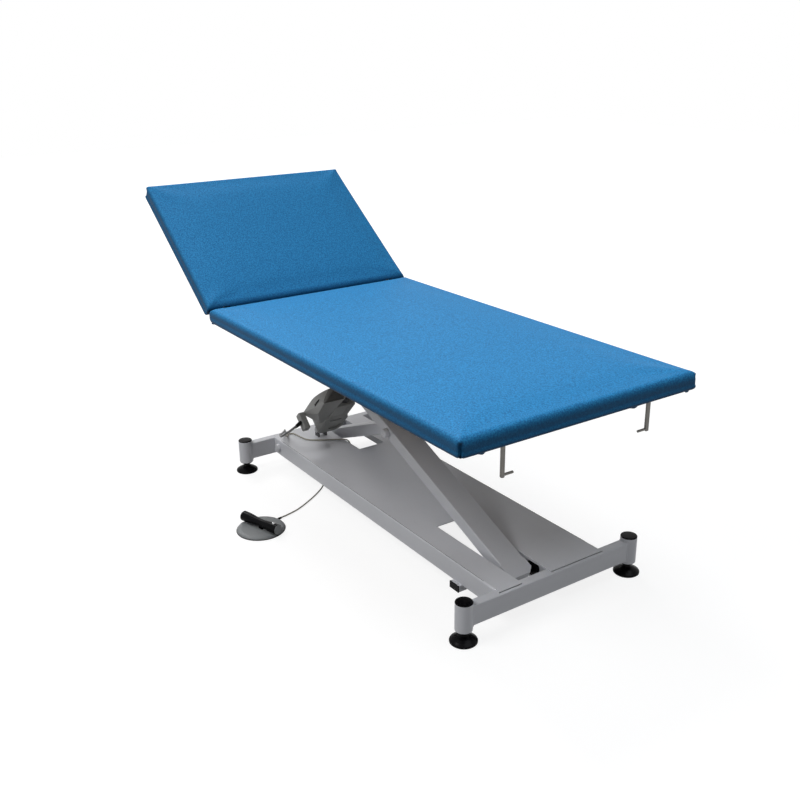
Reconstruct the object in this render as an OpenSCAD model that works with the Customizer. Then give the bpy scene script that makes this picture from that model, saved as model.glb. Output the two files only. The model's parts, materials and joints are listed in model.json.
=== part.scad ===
// Two-section examination table, lifted by an electric drive and a pair of crossed arms.
// X runs from the head end to the foot end, Y from the near side to the far side.
// The origin is on the floor, midway between the four feet.

/* [Top] */
// Width of the upholstered top
pad_w = 800; // [600:10:900]
// Overhang of the main cushion past the frame under it
foot_overhang = 96; // [60:1:120]
// Length of the head section
head_len = 610; // [450:5:700]
// Thickness of each cushion
pad_t = 50; // [40:1:80]
// Rounding of a cushion's upper edge
pad_edge_r = 15; // [8:1:20]
// Rise of a cushion's middle over its edge
pad_crown = 3; // [0:0.5:8]
// Draw-in of a cushion's sides between its corners
pad_draw = 3; // [0:0.5:6]
// Corner radius of a cushion seen from above
pad_corner_r = 14; // [8:1:40]
// Thickness of the plywood boards
board_t = 12; // [9:1:18]
// Bare rim of the cushion round the board
board_inset = 16; // [10:1:40]

/* [Backrest] */
// Angle of the head section as drawn
head_angle = 35.4; // [0:0.1:70]
// Steepest angle of the head section
head_angle_max = 70; // [50:1:70]
// Distance from the seam to the foot end of the base's middle
seam_x = -641; // [-700:1:-600]
// Diameter of the backrest hinge pins
hinge_pin_d = 10; // [8:0.5:14]
// Distance of the hinge plates from the middle plane
hinge_y = 327.5; // [250:0.5:360]
// Radius of both gas spring pins about the hinge
spring_r = 150; // [120:1:180]
// Slope of the gas spring's frame pin below the hinge
spring_frame_slope = 16; // [14:0.5:20]
// Opening of the gas spring at the hinge when the head section is flat
spring_flat_open = 82.6; // [75:0.1:95]
// Sideways place of the gas spring
spring_y = 200; // [150:1:250]
// Outer diameter of the gas spring cylinder
spring_d = 18; // [15:0.5:19]
// Diameter of the gas spring rod
spring_rod_d = 10; // [8:1:14]

/* [Crossed arms] */
// Length of each arm between its end pivots
arm_len = 1255; // [1100:5:1350]
// Slope of the arms as drawn
arm_angle = 22; // [17.5:0.5:33]
// Lowest slope of the arms
arm_angle_min = 17.5; // [17:0.5:20]
// Width of an arm tube
arm_w = 80; // [60:1:80]
// Thickness of an arm tube
arm_h = 40; // [30:1:50]
// Wall of an arm tube
arm_wall = 3; // [2:0.5:5]
// Gap between the two arms
arm_gap = 35; // [30:1:40]
// Place of the fixed lower pivot along the table
head_pivot_x = -595; // [-605:1:-580]
// Height of the lower pivots
pivot_z = 80; // [75:1:85]
// Diameter of the axles
axle_d = 20; // [16:1:24]
// Diameter of the middle pivot boss
boss_d = 28; // [26:1:40]
// Diameter of the rollers
roller_d = 44; // [36:1:46]
// Width of a roller
roller_w = 10; // [8:1:14]
// Height of the frame's upper face over the upper pivots
frame_rise = 31; // [28:1:40]

/* [Base] */
// Distance between the posts across the table
post_dy = 600; // [500:5:700]
// Diameter of a post
post_d = 48.3; // [42.4:0.1:60.3]
// Wall of a post
post_wall = 2.6; // [2:0.1:4]
// Height of a post's lower end
post_z0 = 38; // [34:1:44]
// Height of a post's upper end
post_z1 = 118; // [114:1:140]
// Width of a cross tube
tube_w = 30; // [25:1:40]
// Height of a cross tube
tube_h = 60; // [50:1:60]
// Wall of the frame tubes
tube_wall = 3; // [2:0.5:4]
// Diameter of a levelling foot
foot_d = 76; // [60:1:90]
// Diameter of a levelling foot's spindle
spindle_d = 16; // [12:1:20]
// Width of the tray
tray_w = 380; // [340:5:420]
// Depth of the tray's side flanges
tray_flange = 57; // [40:1:57]
// Thickness of the tray's sheet
sheet_t = 3; // [2:0.5:4]
// Start of the slot for the arm's roller end
slot_x = 265; // [150:5:300]
// Play of an arm in the slot and in the cut-out, each side
slot_play = 11.5; // [8:0.5:14]
// Head end of the cut-out
cut_x0 = -622; // [-625:1:-618]
// Foot end of the cut-out
cut_x1 = -355; // [-420:5:-300]
// Depth of the cut-out's turned lips
lip_h = 20; // [10:1:25]
// Place of the stiffener tube along the table
stiffener_x = 475; // [440:5:520]
// Width of the stiffener tube
stiffener_w = 40; // [30:1:50]
// Height of the stiffener tube
stiffener_h = 20; // [15:1:20]

/* [Top frame] */
// Distance of the outer rails from the middle plane
rail_y = 312; // [280:1:312]
// Width of a frame rail
rail_w = 25; // [20:1:30]
// Height of a frame rail
rail_h = 40; // [30:1:40]

/* [Lift drive] */
// Place of the drive's rear pin along the table
drive_x = -545; // [-550:1:-535]
// Height of the drive's rear pin
drive_z = 134; // [132:1:140]
// Distance of the drive from the middle plane
drive_y = -42; // [-46:1:-40]
// Distance of the drive's front pin from the upper pivot along the arm
drive_reach = 340; // [330:1:350]
// Distance of the drive's front pin below the arm's middle
drive_drop = 35; // [33:1:40]
// Diameter of the drive's rear pin
rear_pin_d = 12; // [10:0.5:14]
// Diameter of the drive's front pin
front_pin_d = 14; // [12:0.5:16]
// Diameter of the push rod
rod_d = 28; // [24:1:30]
// Thickness of the gear housing
gear_t = 64; // [56:1:70]
// Width of the gear housing
gear_w = 94; // [84:1:100]
// Length of the gear housing past the rear pin
gear_len = 250; // [240:1:260]

/* [Foot switch] */
// Diameter of the foot switch
switch_d = 154; // [140:1:170]
// Thickness of the foot switch
switch_t = 11; // [9:0.5:13]
// Place of the foot switch along the table
switch_x = -208; // [-260:1:-150]
// Distance of the foot switch from the middle plane
switch_y = 460; // [440:1:520]
// Direction of the rocker bar
rocker_turn = 17; // [0:1:45]
// Length of the rocker bar
rocker_len = 156; // [130:1:170]
// Diameter of the rocker bar's ends
rocker_d = 33; // [28:0.5:34]
// Diameter of the rocker bar's waist
rocker_waist = 25; // [22:0.5:27]
// Height of the rocker bar's middle
rocker_z = 24.5; // [24:0.5:26]

/* [Paper roll arms] */
// Distance of the roll arms from the cushion's foot end
roll_inset = 31; // [20:1:60]
// Distance of the roll arms from the middle plane
roll_y = 248; // [200:1:280]
// Diameter of a roll arm
roll_d = 12; // [10:0.5:14]
// Drop of a roll arm below the frame's upper face
roll_drop = 97; // [80:1:140]
// Diameter of a roll pin
roll_pin_d = 7; // [5:0.5:8]
// Length of a roll pin past its arm
roll_pin_len = 27; // [20:1:40]

/* [Cords] */
// Diameter of the foot switch's cord
thin_d = 5; // [4:0.5:6]
// Diameter of the mains lead
mains_d = 7; // [6:0.5:8]
// Turns in each layer of the mains coil
coil_turns = 3; // [3:1:4]
// Largest radius of the mains coil at the middle of its cord
coil_r = 52; // [50:1:60]

/* [Fits] */
// Radial clearance of a running pin
run_fit = 0.05; // [0.02:0.01:0.1]
// Clearance between faces that slide past each other
slide_gap = 0.5; // [0.3:0.1:1]
// Clearance of a roller in its track, each side
track_gap = 0.4; // [0.3:0.1:0.8]
// Clearance of the upper rollers from the frame's end at the lowest height
top_end_gap = 4.085; // [3:0.005:8]
// Clearance of the lower rollers from the base's end at the lowest height
base_end_gap = 5.585; // [3:0.005:8]
// Clearance round a board in its cushion
board_gap = 0.3; // [0.2:0.1:1]
// Clearance between a cord's first point and the relief that it leaves
cord_gap = 0.4; // [0.2:0.1:0.8]

/* [Hidden] */
$fn = 64;

arm_y = (arm_w + arm_gap) / 2;
slot_w = arm_w + 2 * slot_play;
half = arm_len / 2;
mid_x = head_pivot_x + half * cos(arm_angle);
mid_z = pivot_z + half * sin(arm_angle);
foot_pivot_x = head_pivot_x + arm_len * cos(arm_angle);
top_pivot_z = pivot_z + arm_len * sin(arm_angle);
frame_top = top_pivot_z + frame_rise;
roller_reach = head_pivot_x + arm_len * cos(arm_angle_min) + roller_d / 2;
post_dx = 2 * (roller_reach + base_end_gap + tube_w / 2);
foot_cross_x = roller_reach + top_end_gap;
foot_x = foot_cross_x + rail_w + foot_overhang;
main_len = foot_x - seam_x;
roll_x = foot_x - roll_inset;
hinge_z = frame_top + pad_t / 2;
nose_r = pad_t / 2;
seam_inset = nose_r / cos(head_angle_max / 2) - nose_r + 0.6;
tray_top = pivot_z + roller_d / 2 + track_gap + rail_wall() + sheet_t;
tube_top = tray_top - sheet_t;
track_in = roller_d + 2 * track_gap;
base_track_y = slot_w / 2 + slide_gap;
top_track_y = arm_w / 2 + 2.5;
middle_cross = [-485, -260, 40, 340];
black = [0.03, 0.03, 0.035];
paint = [0.80, 0.81, 0.83];
shell = [0.45, 0.45, 0.44];
blue = [0.10, 0.42, 0.68];

function rail_wall() = 4.6;
function unit(v) = v / norm(v);
function rot_y(v, a) = [v[0] * cos(a) + v[2] * sin(a), v[1], -v[0] * sin(a) + v[2] * cos(a)];

// Place a shape drawn along +X from one of the arms' fixed pivots
module along_arm_b() translate([head_pivot_x, arm_y, pivot_z]) rotate([0, -arm_angle, 0]) children();
module along_arm_a() translate([head_pivot_x, -arm_y, top_pivot_z]) rotate([0, arm_angle, 0]) children();

// Cylinder along Y, centred on its place
module across(d, l) rotate([90, 0, 0]) cylinder(d = d, h = l, center = true);

// Rectangle with rounded corners, centred
module rounded_flat(w, h, r) {
  square([w - 2 * r, h], center = true);
  square([w, h - 2 * r], center = true);
  for (x = [-1, 1], y = [-1, 1]) translate([x * (w / 2 - r), y * (h / 2 - r)]) circle(r = r, $fn = 32);
}

// Bar along X with rounded edges
module bar_x(x0, x1, w, h, r) translate([x0, 0, 0]) rotate([90, 0, 90])
  linear_extrude(height = x1 - x0) rounded_flat(w, h, r);

// Rectangular tube along X from x0 to x1
module tube_x(x0, x1, w, h, wall) {
  difference() {
    bar_x(x0, x1, w, h, wall);
    translate([x0 - 1, -w / 2 + wall, -h / 2 + wall]) cube([x1 - x0 + 2, w - 2 * wall, h - 2 * wall]);
  }
}

// Rectangular tube along Y, centred
module tube_y(l, w, h, wall) rotate([0, 0, 90]) tube_x(-l / 2, l / 2, w, h, wall);

// C channel along X whose mouth faces +Y; its web's back lies at y = 0
module channel_x(x0, x1, depth, inner, wall, web) {
  difference() {
    translate([x0, 0, -inner / 2 - wall]) cube([x1 - x0, depth, inner + 2 * wall]);
    translate([x0 - 1, web, -inner / 2]) cube([x1 - x0 + 2, depth, inner]);
  }
}

/* Base */

function post_places() = [for (sx = [-1, 1], sy = [-1, 1]) [sx * post_dx / 2, sy * post_dy / 2]];

// Cross tube with a post welded to each end, at the head and at the foot
module base_ends() {
  color(paint) for (side = [-1, 1]) translate([side * post_dx / 2, 0, 0]) difference() {
    union() {
      for (s = [-1, 1])
        translate([0, s * post_dy / 2, post_z0]) cylinder(d = post_d, h = post_z1 - post_z0);
      translate([0, 0, tube_top - tube_h / 2]) rotate([0, 0, 90])
        bar_x(-post_dy / 2, post_dy / 2, tube_w, tube_h, tube_wall);
    }
    for (s = [-1, 1])
      translate([0, s * post_dy / 2, post_z0 - 1])
        cylinder(d = post_d - 2 * post_wall, h = post_z1 - post_z0 + 2);
    translate([0, 0, tube_top - tube_h / 2])
      cube([tube_w - 2 * tube_wall, post_dy - post_d, tube_h - 2 * tube_wall], center = true);
  }
}

module post_caps() {
  skirt = 12;
  color(black)
  for (p = post_places()) translate([p[0], p[1], post_z1]) {
    translate([0, 0, -skirt]) cylinder(d = post_d - 2 * post_wall - 2 * run_fit, h = skirt);
    rotate_extrude() polygon([
      [0, 0], [post_d / 2, 0], [post_d / 2, 1.2], [post_d / 2 - 0.9, 2.6], [post_d / 2 - 3, 3.4],
      [post_d / 4, 4.0], [0, 4.2]
    ]);
  }
}

bush_h = 24;
bush_lip = 4;

module foot_bushes() {
  color(black)
  for (p = post_places()) translate([p[0], p[1], post_z0])
    difference() {
      union() {
        cylinder(d = post_d - 2 * post_wall - 2 * run_fit, h = bush_h);
        translate([0, 0, -bush_lip]) cylinder(d1 = post_d - 8, d2 = post_d, h = bush_lip);
      }
      translate([0, 0, -bush_lip - 1]) cylinder(d = spindle_d + 2 * run_fit, h = bush_h + bush_lip + 2);
    }
}

// Levelling foot: a domed glide on a spindle that turns in the post's bush
module level_foot(p) {
  r = foot_d / 2;
  neck = spindle_d / 2 + 3;
  color(black) translate([p[0], p[1], 0]) {
    rotate_extrude() polygon([
      [0, 0], [r - 2, 0], [r, 2], [r, 5.5], [r - 1.5, 8], [r - 8, 12.5], [r - 15, 16.5],
      [r - 21, 19.5], [neck + 2, 22], [neck, 24.5], [neck, post_z0 - bush_lip - slide_gap],
      [0, post_z0 - bush_lip - slide_gap]
    ]);
    cylinder(d = spindle_d, h = post_z0 + bush_h - 4);
  }
}

// The tray is folded from one sheet: a plate with flanges, a slot and a cut-out
module tray_profile() {
  w = tray_w / 2;
  b = 2 * sheet_t;
  rotate([90, 0, 90]) linear_extrude(height = post_dx - tube_w, center = true)
    polygon(concat(
      [for (a = [0 : 15 : 90]) [w - b + b * sin(a), tray_top - b + b * cos(a)]],
      [[w, tray_top - tray_flange], [w - sheet_t, tray_top - tray_flange],
       [w - sheet_t, tray_top - sheet_t], [sheet_t - w, tray_top - sheet_t],
       [sheet_t - w, tray_top - tray_flange], [-w, tray_top - tray_flange]],
      [for (a = [90 : -15 : 0]) [-w + b - b * sin(a), tray_top - b + b * cos(a)]]
    ));
}

tray_over = 5;
lip_y0 = arm_y - slot_w / 2;
lip_y1 = arm_y + slot_w / 2;

module tray() {
  color(paint)
  union() {
    difference() {
      union() {
        tray_profile();
        translate([0, 0, tray_top - sheet_t / 2])
          cube([post_dx + 2 * tray_over, tray_w - 4 * sheet_t, sheet_t], center = true);
      }
      translate([slot_x, -lip_y1, tray_top - 2 * sheet_t]) cube([post_dx, slot_w, 3 * sheet_t]);
      translate([cut_x0, lip_y0, tray_top - 2 * sheet_t]) cube([cut_x1 - cut_x0, slot_w, 3 * sheet_t]);
      translate([head_pivot_x, 0, pivot_z]) across(axle_end_d + 2 * run_fit, tray_w + 40);
    }
    for (y = [lip_y0 - sheet_t, lip_y1])
      translate([cut_x0 + 70, y, tray_top - sheet_t - lip_h]) cube([cut_x1 - cut_x0 - 70, sheet_t, lip_h]);
    translate([cut_x1, lip_y0 - sheet_t, tray_top - sheet_t - lip_h])
      cube([sheet_t, slot_w + 2 * sheet_t, lip_h]);
  }
}

stiffener_l = tray_w + 20;
stiffener_z = tube_top - track_in - 2 * rail_wall() - stiffener_h / 2;

module stiffener_tube() {
  color(paint) translate([stiffener_x, 0, stiffener_z])
    tube_y(stiffener_l, stiffener_w, stiffener_h, 2);
}

module stiffener_plugs() {
  plug = 3;
  color(black)
  for (s = [-1, 1]) translate([stiffener_x, s * stiffener_l / 2, stiffener_z]) {
    translate([0, s * plug / 2, 0]) cube([stiffener_w, plug, stiffener_h], center = true);
    translate([0, -s * 6, 0]) cube([stiffener_w - 4.4, 12, stiffener_h - 4.4], center = true);
  }
}

rail_x0 = 400;
rail_x1 = post_dx / 2 - tube_w / 2;
channel_depth = roller_w + 7;

module roller_rails() {
  color(paint) for (s = [-1, 1]) translate([0, -arm_y + s * (base_track_y + channel_depth), pivot_z])
    mirror([0, s > 0 ? 1 : 0, 0]) channel_x(rail_x0, rail_x1, channel_depth, track_in, rail_wall(), 4);
}

// Two plates under the tray that hold the fixed lower axle beside arm B
module axle_brackets() {
  color(paint)
  for (y = [lip_y0 - 6, lip_y1]) difference() {
    translate([head_pivot_x - 27, y, pivot_z - 22]) cube([60, 6, tube_top - pivot_z + 22]);
    translate([head_pivot_x, y + 3, pivot_z]) across(axle_d + 2 * run_fit, 20);
  }
}

axle_end_d = 14;

// The axle runs across the whole tray and ends in a round cap on each flange
module lower_axle() {
  cap_l = 9;
  cap_d = axle_d + 4;
  color(paint) translate([head_pivot_x, 0, pivot_z]) {
    across(axle_d, tray_w - 2 * sheet_t - 2);
    across(axle_end_d, tray_w + 2);
    for (s = [-1, 1]) translate([0, s * tray_w / 2, 0]) rotate([-s * 90, 0, 0]) {
      cylinder(d = cap_d, h = cap_l - 2);
      translate([0, 0, cap_l - 2]) cylinder(d1 = cap_d, d2 = cap_d - 5, h = 2);
    }
  }
}

bracket_gap = 25;
bracket_t = 5;
bracket_w = 26;

module drive_bracket() {
  color(paint)
  for (s = [-1, 1])
    translate([drive_x, drive_y + s * (bracket_gap + bracket_t) / 2, 0]) difference() {
      union() {
        translate([0, 0, drive_z]) across(bracket_w, bracket_t);
        translate([-bracket_w / 2, -bracket_t / 2, tray_top]) cube([bracket_w, bracket_t, drive_z - tray_top]);
      }
      translate([0, 0, drive_z]) across(rear_pin_d + 2 * run_fit, bracket_t + 2);
    }
}

module drive_rear_pin() {
  color("silver") translate([drive_x, drive_y, drive_z]) {
    across(rear_pin_d, bracket_gap + 2 * bracket_t + 6);
    for (s = [-1, 1]) translate([0, s * (bracket_gap / 2 + bracket_t + 2), 0]) across(rear_pin_d + 6, 4);
  }
}

/* Foot switch */

module at_switch() translate([switch_x, -switch_y, 0]) rotate([0, 0, rocker_turn]) children();

// Half the rocker's travel, and the room that it needs at its ends
rocker_swing = 2.5;
rocker_dip = (rocker_len / 2) * sin(rocker_swing) + slide_gap;
trough_d = rocker_d + 2;
trough_floor = rocker_z - rocker_dip - trough_d / 2;

// Low disc with a trough in which the rocker bar dips
module switch_base() {
  r = switch_d / 2;
  color(shell) difference() {
    translate([switch_x, -switch_y, 0]) rotate_extrude($fn = 96) polygon([
      [0, 0], [r - 3, 0], [r - 0.5, 1], [r, 2.5], [r - 0.6, 5.5], [r - 2.6, 8], [r - 7, switch_t - 1],
      [r - 14, switch_t], [0, switch_t]
    ]);
    at_switch() translate([0, 0, rocker_z - rocker_dip]) rotate([0, 90, 0])
      cylinder(d = trough_d, h = rocker_len + 8, center = true);
  }
}

saddle_w = 7;
saddle_l = 15;
rocker_pin_d = 5;

// Lug that stands in the trough and carries the rocker in a slot at its waist
module switch_saddle() {
  color(black) at_switch() difference() {
    union() {
      translate([0, 0, rocker_z]) across(saddle_l, saddle_w);
      translate([-saddle_l / 2, -saddle_w / 2, trough_floor + 0.4])
        cube([saddle_l, saddle_w, rocker_z - trough_floor - 0.4]);
    }
    translate([0, 0, rocker_z]) across(rocker_pin_d + 2 * run_fit, saddle_w + 2);
  }
}

gland_dir = 107;
gland_l = 13;

module switch_gland() {
  color(black) translate([switch_x, -switch_y, 5]) rotate([0, 0, gland_dir]) rotate([0, 90, 0])
    translate([0, 0, switch_d / 2 + 0.1]) cylinder(d1 = thin_d + 4, d2 = thin_d + 1.2, h = gland_l);
}

// Rocker bar with a slim waist, turned about its own length
module foot_pedal() {
  n = 10;
  l = rocker_len / 2;
  function swell(x) = (1 - cos(180 * min(abs(x) / (0.8 * l), 1))) / 2;
  function bar_r(x) = (rocker_waist + (rocker_d - rocker_waist) * swell(x)) / 2;
  color(black) at_switch() translate([0, 0, rocker_z]) {
    difference() {
      rotate([0, 90, 0]) rotate_extrude($fn = 48) polygon(concat(
        [[0, -l]], [for (i = [-n : n]) [bar_r(i * l / n), i * l / n]], [[0, l]]));
      translate([0, 0, saddle_l / 2 + 1 - rocker_d]) cube(
        [saddle_l + 2 * slide_gap + 3, saddle_w + 2 * slide_gap, 2 * rocker_d], center = true);
    }
    across(rocker_pin_d, rocker_waist - 3);
  }
}

module pedal_end_caps() {
  cap = 1.6;
  color(shell) at_switch()
    for (s = [-1, 1]) translate([s * (rocker_len / 2 + cap / 2), 0, rocker_z]) rotate([0, 90, 0])
      cylinder(d = rocker_d - 2, h = cap, center = true);
}

/* Crossed arms */

end_l = 30;
lug_r = arm_h / 2;

module arm_tube() {
  difference() {
    tube_x(end_l, arm_len - end_l, arm_w, arm_h, arm_wall);
    translate([half, 0, 0]) across(axle_d + 2 * run_fit, arm_w + 2);
  }
}

// Solid fitting that closes a tube and carries the pivot's bore
module arm_end(extra_w, bore_d) {
  w = arm_w + extra_w;
  in = 22;
  play = 2 * run_fit;
  difference() {
    union() {
      across(arm_h, w);
      bar_x(0, end_l, w, arm_h, arm_wall);
      translate([end_l - 1, -arm_w / 2 + arm_wall + run_fit, -arm_h / 2 + arm_wall + run_fit])
        cube([in, arm_w - 2 * arm_wall - play, arm_h - 2 * arm_wall - play]);
    }
    across(bore_d + play, w + 2);
  }
}

module arm_b_tube() { color(paint) along_arm_b() arm_tube(); }
module arm_b_lower_end() { color(paint) along_arm_b() arm_end(0, axle_d); }
module arm_b_upper_end() {
  color(paint) along_arm_b() translate([arm_len, 0, 0]) rotate([0, 180, 0]) arm_end(0, axle_d);
}
module arm_a_tube() { color(paint) along_arm_a() arm_tube(); }
module arm_a_upper_end() { color(paint) along_arm_a() arm_end(0, axle_d); }

// The roller end of arm A is a wider box with one corner cut off
module arm_a_lower_end() {
  w = arm_w + 4;
  nose = 22;
  color(paint) along_arm_a() translate([arm_len, 0, 0]) difference() {
    union() {
      rotate([0, 180, 0]) arm_end(0, axle_d);
      translate([-end_l, -w / 2, -arm_h / 2 + 2]) cube([end_l + nose, w, arm_h - 2]);
    }
    across(axle_d + 2 * run_fit, w + 2);
    translate([nose, w / 2, 0]) rotate([0, 0, 45]) cube([24, 24, arm_h + 4], center = true);
    translate([nose, 0, -arm_h / 2]) rotate([0, 45, 0]) cube([24, w + 2, 24], center = true);
  }
}

boss_l = 14;

// Bolt through both arms, with a boss on the near side and a spacer between the arms
module middle_pin() {
  gap = 2 * arm_y - arm_w;
  color("silver") translate([mid_x, 0, mid_z]) {
    across(axle_d, 2 * arm_y + arm_w + 8);
    translate([0, slide_gap / 2, 0]) across(axle_d + 14, gap - slide_gap);
    translate([0, -arm_y - (arm_w + boss_l) / 2 - slide_gap, 0]) across(boss_d, boss_l);
    translate([0, arm_y + (arm_w + boss_l) / 2, 0]) across(boss_d, boss_l);
  }
}

// Two rollers on one axle; the axle turns in the bore of the arm's end
module roller_set(x, y, z, inner_half) {
  out = inner_half + slide_gap + roller_w;
  collar = inner_half - arm_w / 2 - 2.5;
  translate([x, y, z]) {
    across(axle_d, 2 * out + 2);
    for (s = [-1, 1]) {
      translate([0, s * (out - roller_w / 2), 0]) across(roller_d, roller_w);
      if (collar > 1) translate([0, s * (out - roller_w - collar / 2), 0]) across(axle_d + 6, collar);
    }
  }
}

module lower_rollers() { color(black) roller_set(foot_pivot_x, -arm_y, pivot_z, base_track_y); }
module upper_rollers() { color(black) roller_set(foot_pivot_x, arm_y, top_pivot_z, top_track_y); }

// Lugs under arm A; the drive's pin has play along their slots
slot_back = 17;
slot_fore = 5.4;
slot_r = front_pin_d / 2 + 2.4;
lug_wall = 5;
lug_gap = 20;
lug_t = 6;

module drive_lugs() {
  color(paint) along_arm_a()
    for (s = [-1, 1])
      translate([drive_reach, drive_y + arm_y + s * (lug_gap + lug_t) / 2, -drive_drop]) difference() {
        union() {
          for (x = [-slot_back, slot_fore]) translate([x, 0, 0]) across(2 * (slot_r + lug_wall), lug_t);
          translate([-slot_back, -lug_t / 2, -slot_r - lug_wall])
            cube([slot_back + slot_fore, lug_t, slot_r + lug_wall]);
          translate([-slot_back - slot_r - lug_wall, -lug_t / 2, 0])
            cube([slot_back + slot_fore + 2 * (slot_r + lug_wall), lug_t, drive_drop - arm_h / 2]);
        }
        for (x = [-slot_back, slot_fore]) translate([x, 0, 0]) across(2 * slot_r, lug_t + 2);
        translate([-slot_back, -lug_t / 2 - 1, -slot_r]) cube([slot_back + slot_fore, lug_t + 2, 2 * slot_r]);
      }
}

/* Top frame */

spine_h = track_in + 2 * rail_wall();
spine_x0 = seam_x + 20;
spine_plate = 4;
spring_pin_d = 8;
spring_frame_pin = [
  seam_x + spring_r * cos(spring_frame_slope), spring_y, hinge_z - spring_r * sin(spring_frame_slope)
];

track_back = arm_y + top_track_y + channel_depth;
roll_plate = 8;
roll_head = 3;

module frame_rails() {
  color(paint) for (s = [-1, 1]) translate([0, s * rail_y, frame_top - rail_h / 2])
    tube_x(spine_x0, foot_cross_x + rail_w, rail_w, rail_h, tube_wall);
}

// Bars between the rails; all but the last are notched over the arms' tracks
module frame_crosses() {
  l = 2 * rail_y - rail_w;
  color(paint) {
    for (x = middle_cross) difference() {
      translate([x, -l / 2, frame_top - rail_h]) cube([rail_w, l, rail_h]);
      translate([x - 1, -track_back, top_pivot_z - spine_h]) cube([rail_w + 2, 2 * track_back, 1.5 * spine_h]);
    }
    translate([foot_cross_x, -l / 2, frame_top - rail_h]) cube([rail_w, l, rail_h]);
    translate([spine_x0, -track_back, top_pivot_z - spine_h / 2]) cube([spine_plate, 2 * track_back, spine_h]);
  }
}

// Plates for the paper roll arms and ears for the gas spring's fixed pin
module frame_lugs() {
  plate_w = 32;
  ear_h = 22;
  ear_t = 5;
  ear_x = spring_frame_pin[0];
  color(paint) difference() {
    union() {
      for (s = [-1, 1])
        translate([foot_cross_x + rail_w, s * roll_y - plate_w / 2, frame_top - roll_plate])
          cube([roll_x + 12 - foot_cross_x - rail_w, plate_w, roll_plate]);
      for (s = [-1, 1]) translate([ear_x, spring_y + s * 14, spring_frame_pin[2]]) {
        across(ear_h, ear_t);
        translate([0, -ear_t / 2, -ear_h / 2]) cube([middle_cross[0] - ear_x, ear_t, ear_h]);
      }
    }
    for (s = [-1, 1]) translate([roll_x, s * roll_y, frame_top]) {
      translate([0, 0, -roll_plate - 1]) cylinder(d = roll_d + 2 * run_fit, h = roll_plate + 2);
      translate([0, 0, -roll_head - 0.6]) cylinder(d = roll_d + 7, h = roll_head + 1);
    }
    translate(spring_frame_pin) across(spring_pin_d + 2 * run_fit, 60);
  }
}

// Two channels and a double-sided spine in which the arms' upper ends and rollers run
module arm_tracks() {
  c = arm_y - top_track_y;
  x0 = spine_x0 + spine_plate;
  l = foot_cross_x - x0;
  color(paint) difference() {
    union() {
      for (s = [-1, 1]) translate([0, s * track_back, top_pivot_z])
        mirror([0, s > 0 ? 1 : 0, 0]) channel_x(x0, foot_cross_x, channel_depth, track_in, rail_wall(), 4);
      for (z = [-spine_h / 2, spine_h / 2 - rail_wall()])
        translate([x0, -c, top_pivot_z + z]) cube([l, 2 * c, rail_wall()]);
      translate([x0, -2.5, top_pivot_z - spine_h / 2 + 1]) cube([l, 5, spine_h - 2]);
    }
    translate([head_pivot_x, -arm_y, top_pivot_z]) across(axle_d + 2 * run_fit, 2 * (arm_y + 10));
  }
}

module frame_plugs() {
  plug = 2.5;
  color(black)
  for (s = [-1, 1]) translate([foot_cross_x + rail_w, s * rail_y, frame_top - rail_h / 2]) {
    translate([plug / 2, 0, 0]) cube([plug, rail_w, rail_h], center = true);
    translate([-6, 0, 0])
      cube([12, rail_w - 2 * tube_wall - 0.4, rail_h - 2 * tube_wall - 0.4], center = true);
  }
}

module upper_axle() {
  head_l = 5;
  far_l = 10;
  color("silver") translate([head_pivot_x, 0, top_pivot_z]) {
    translate([0, (far_l - track_back) / 2, 0]) across(axle_d, track_back + far_l);
    translate([0, -track_back - head_l / 2, 0]) across(axle_d + 8, head_l);
  }
}

// Fixed hinge plates: each eye stands in a pocket between the cushions
plate_t = 6;
eye_r = 9;
plate_neck_l = 30;
plate_foot_x = 16;
plate_foot_l = 70;
plate_inset = 4;
plate_relief = 24;
plate_drop = nose_r + rail_h;

module hinge_plate_shape(dir, bore) {
  difference() {
    union() {
      across(2 * eye_r, plate_t);
      translate([dir > 0 ? 0 : -plate_neck_l, -plate_t / 2, -nose_r - 2.5 * plate_inset])
        cube([plate_neck_l, plate_t, nose_r + 2.5 * plate_inset]);
      translate([dir > 0 ? plate_foot_x : -plate_foot_x - plate_foot_l, -plate_t / 2, plate_inset - plate_drop])
        cube([plate_foot_l, plate_t, rail_h - 1.5 * plate_inset]);
    }
    across(bore, plate_t + 2);
    translate([-dir * eye_r, 0, -eye_r - plate_relief / 2 + 1])
      cube([2 * eye_r, plate_t + 2, plate_relief], center = true);
  }
}

module hinge_plates() {
  color(paint)
  for (s = [-1, 1]) translate([seam_x, 0, hinge_z]) {
    translate([0, s * hinge_y, 0]) hinge_plate_shape(1, hinge_pin_d - 2);
    translate([0, s * (hinge_y + 5), 0]) across(hinge_pin_d, 2 * plate_t + 5);
  }
}

/* Soft parts */

// Ring of a cushion's outline; the sides between the corners bow in by pad_draw
function outline(x0, x1, w, r, z) = [
  for (c = [[x1 - r, w - r, 0], [x0 + r, w - r, 90], [x0 + r, r - w, 180], [x1 - r, r - w, 270]])
    for (a = [0 : 22.5 : 90]) [c[0] + r * cos(a + c[2]), c[1] + r * sin(a + c[2]), z]
];
function side_points(ring, n) = [
  for (i = [0 : len(ring) - 1])
    let (a = ring[i], b = ring[(i + 1) % len(ring)], k = norm(b - a) > 60 ? n : 1)
      for (j = [0 : k - 1]) a + (b - a) * j / k
];
function drawn_in(p, x0, x1, w, d) =
  let (xm = (x0 + x1) / 2, hx = (x1 - x0) / 2, u = (p[0] - xm) / hx, v = p[1] / w)
  let (dx = abs(u) > 0.9 ? d * (1 - v * v) : 0, dy = abs(v) > 0.9 ? d * (1 - u * u) : 0)
  [p[0] - sign(u) * dx, p[1] - sign(v) * dy, p[2]];

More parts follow.
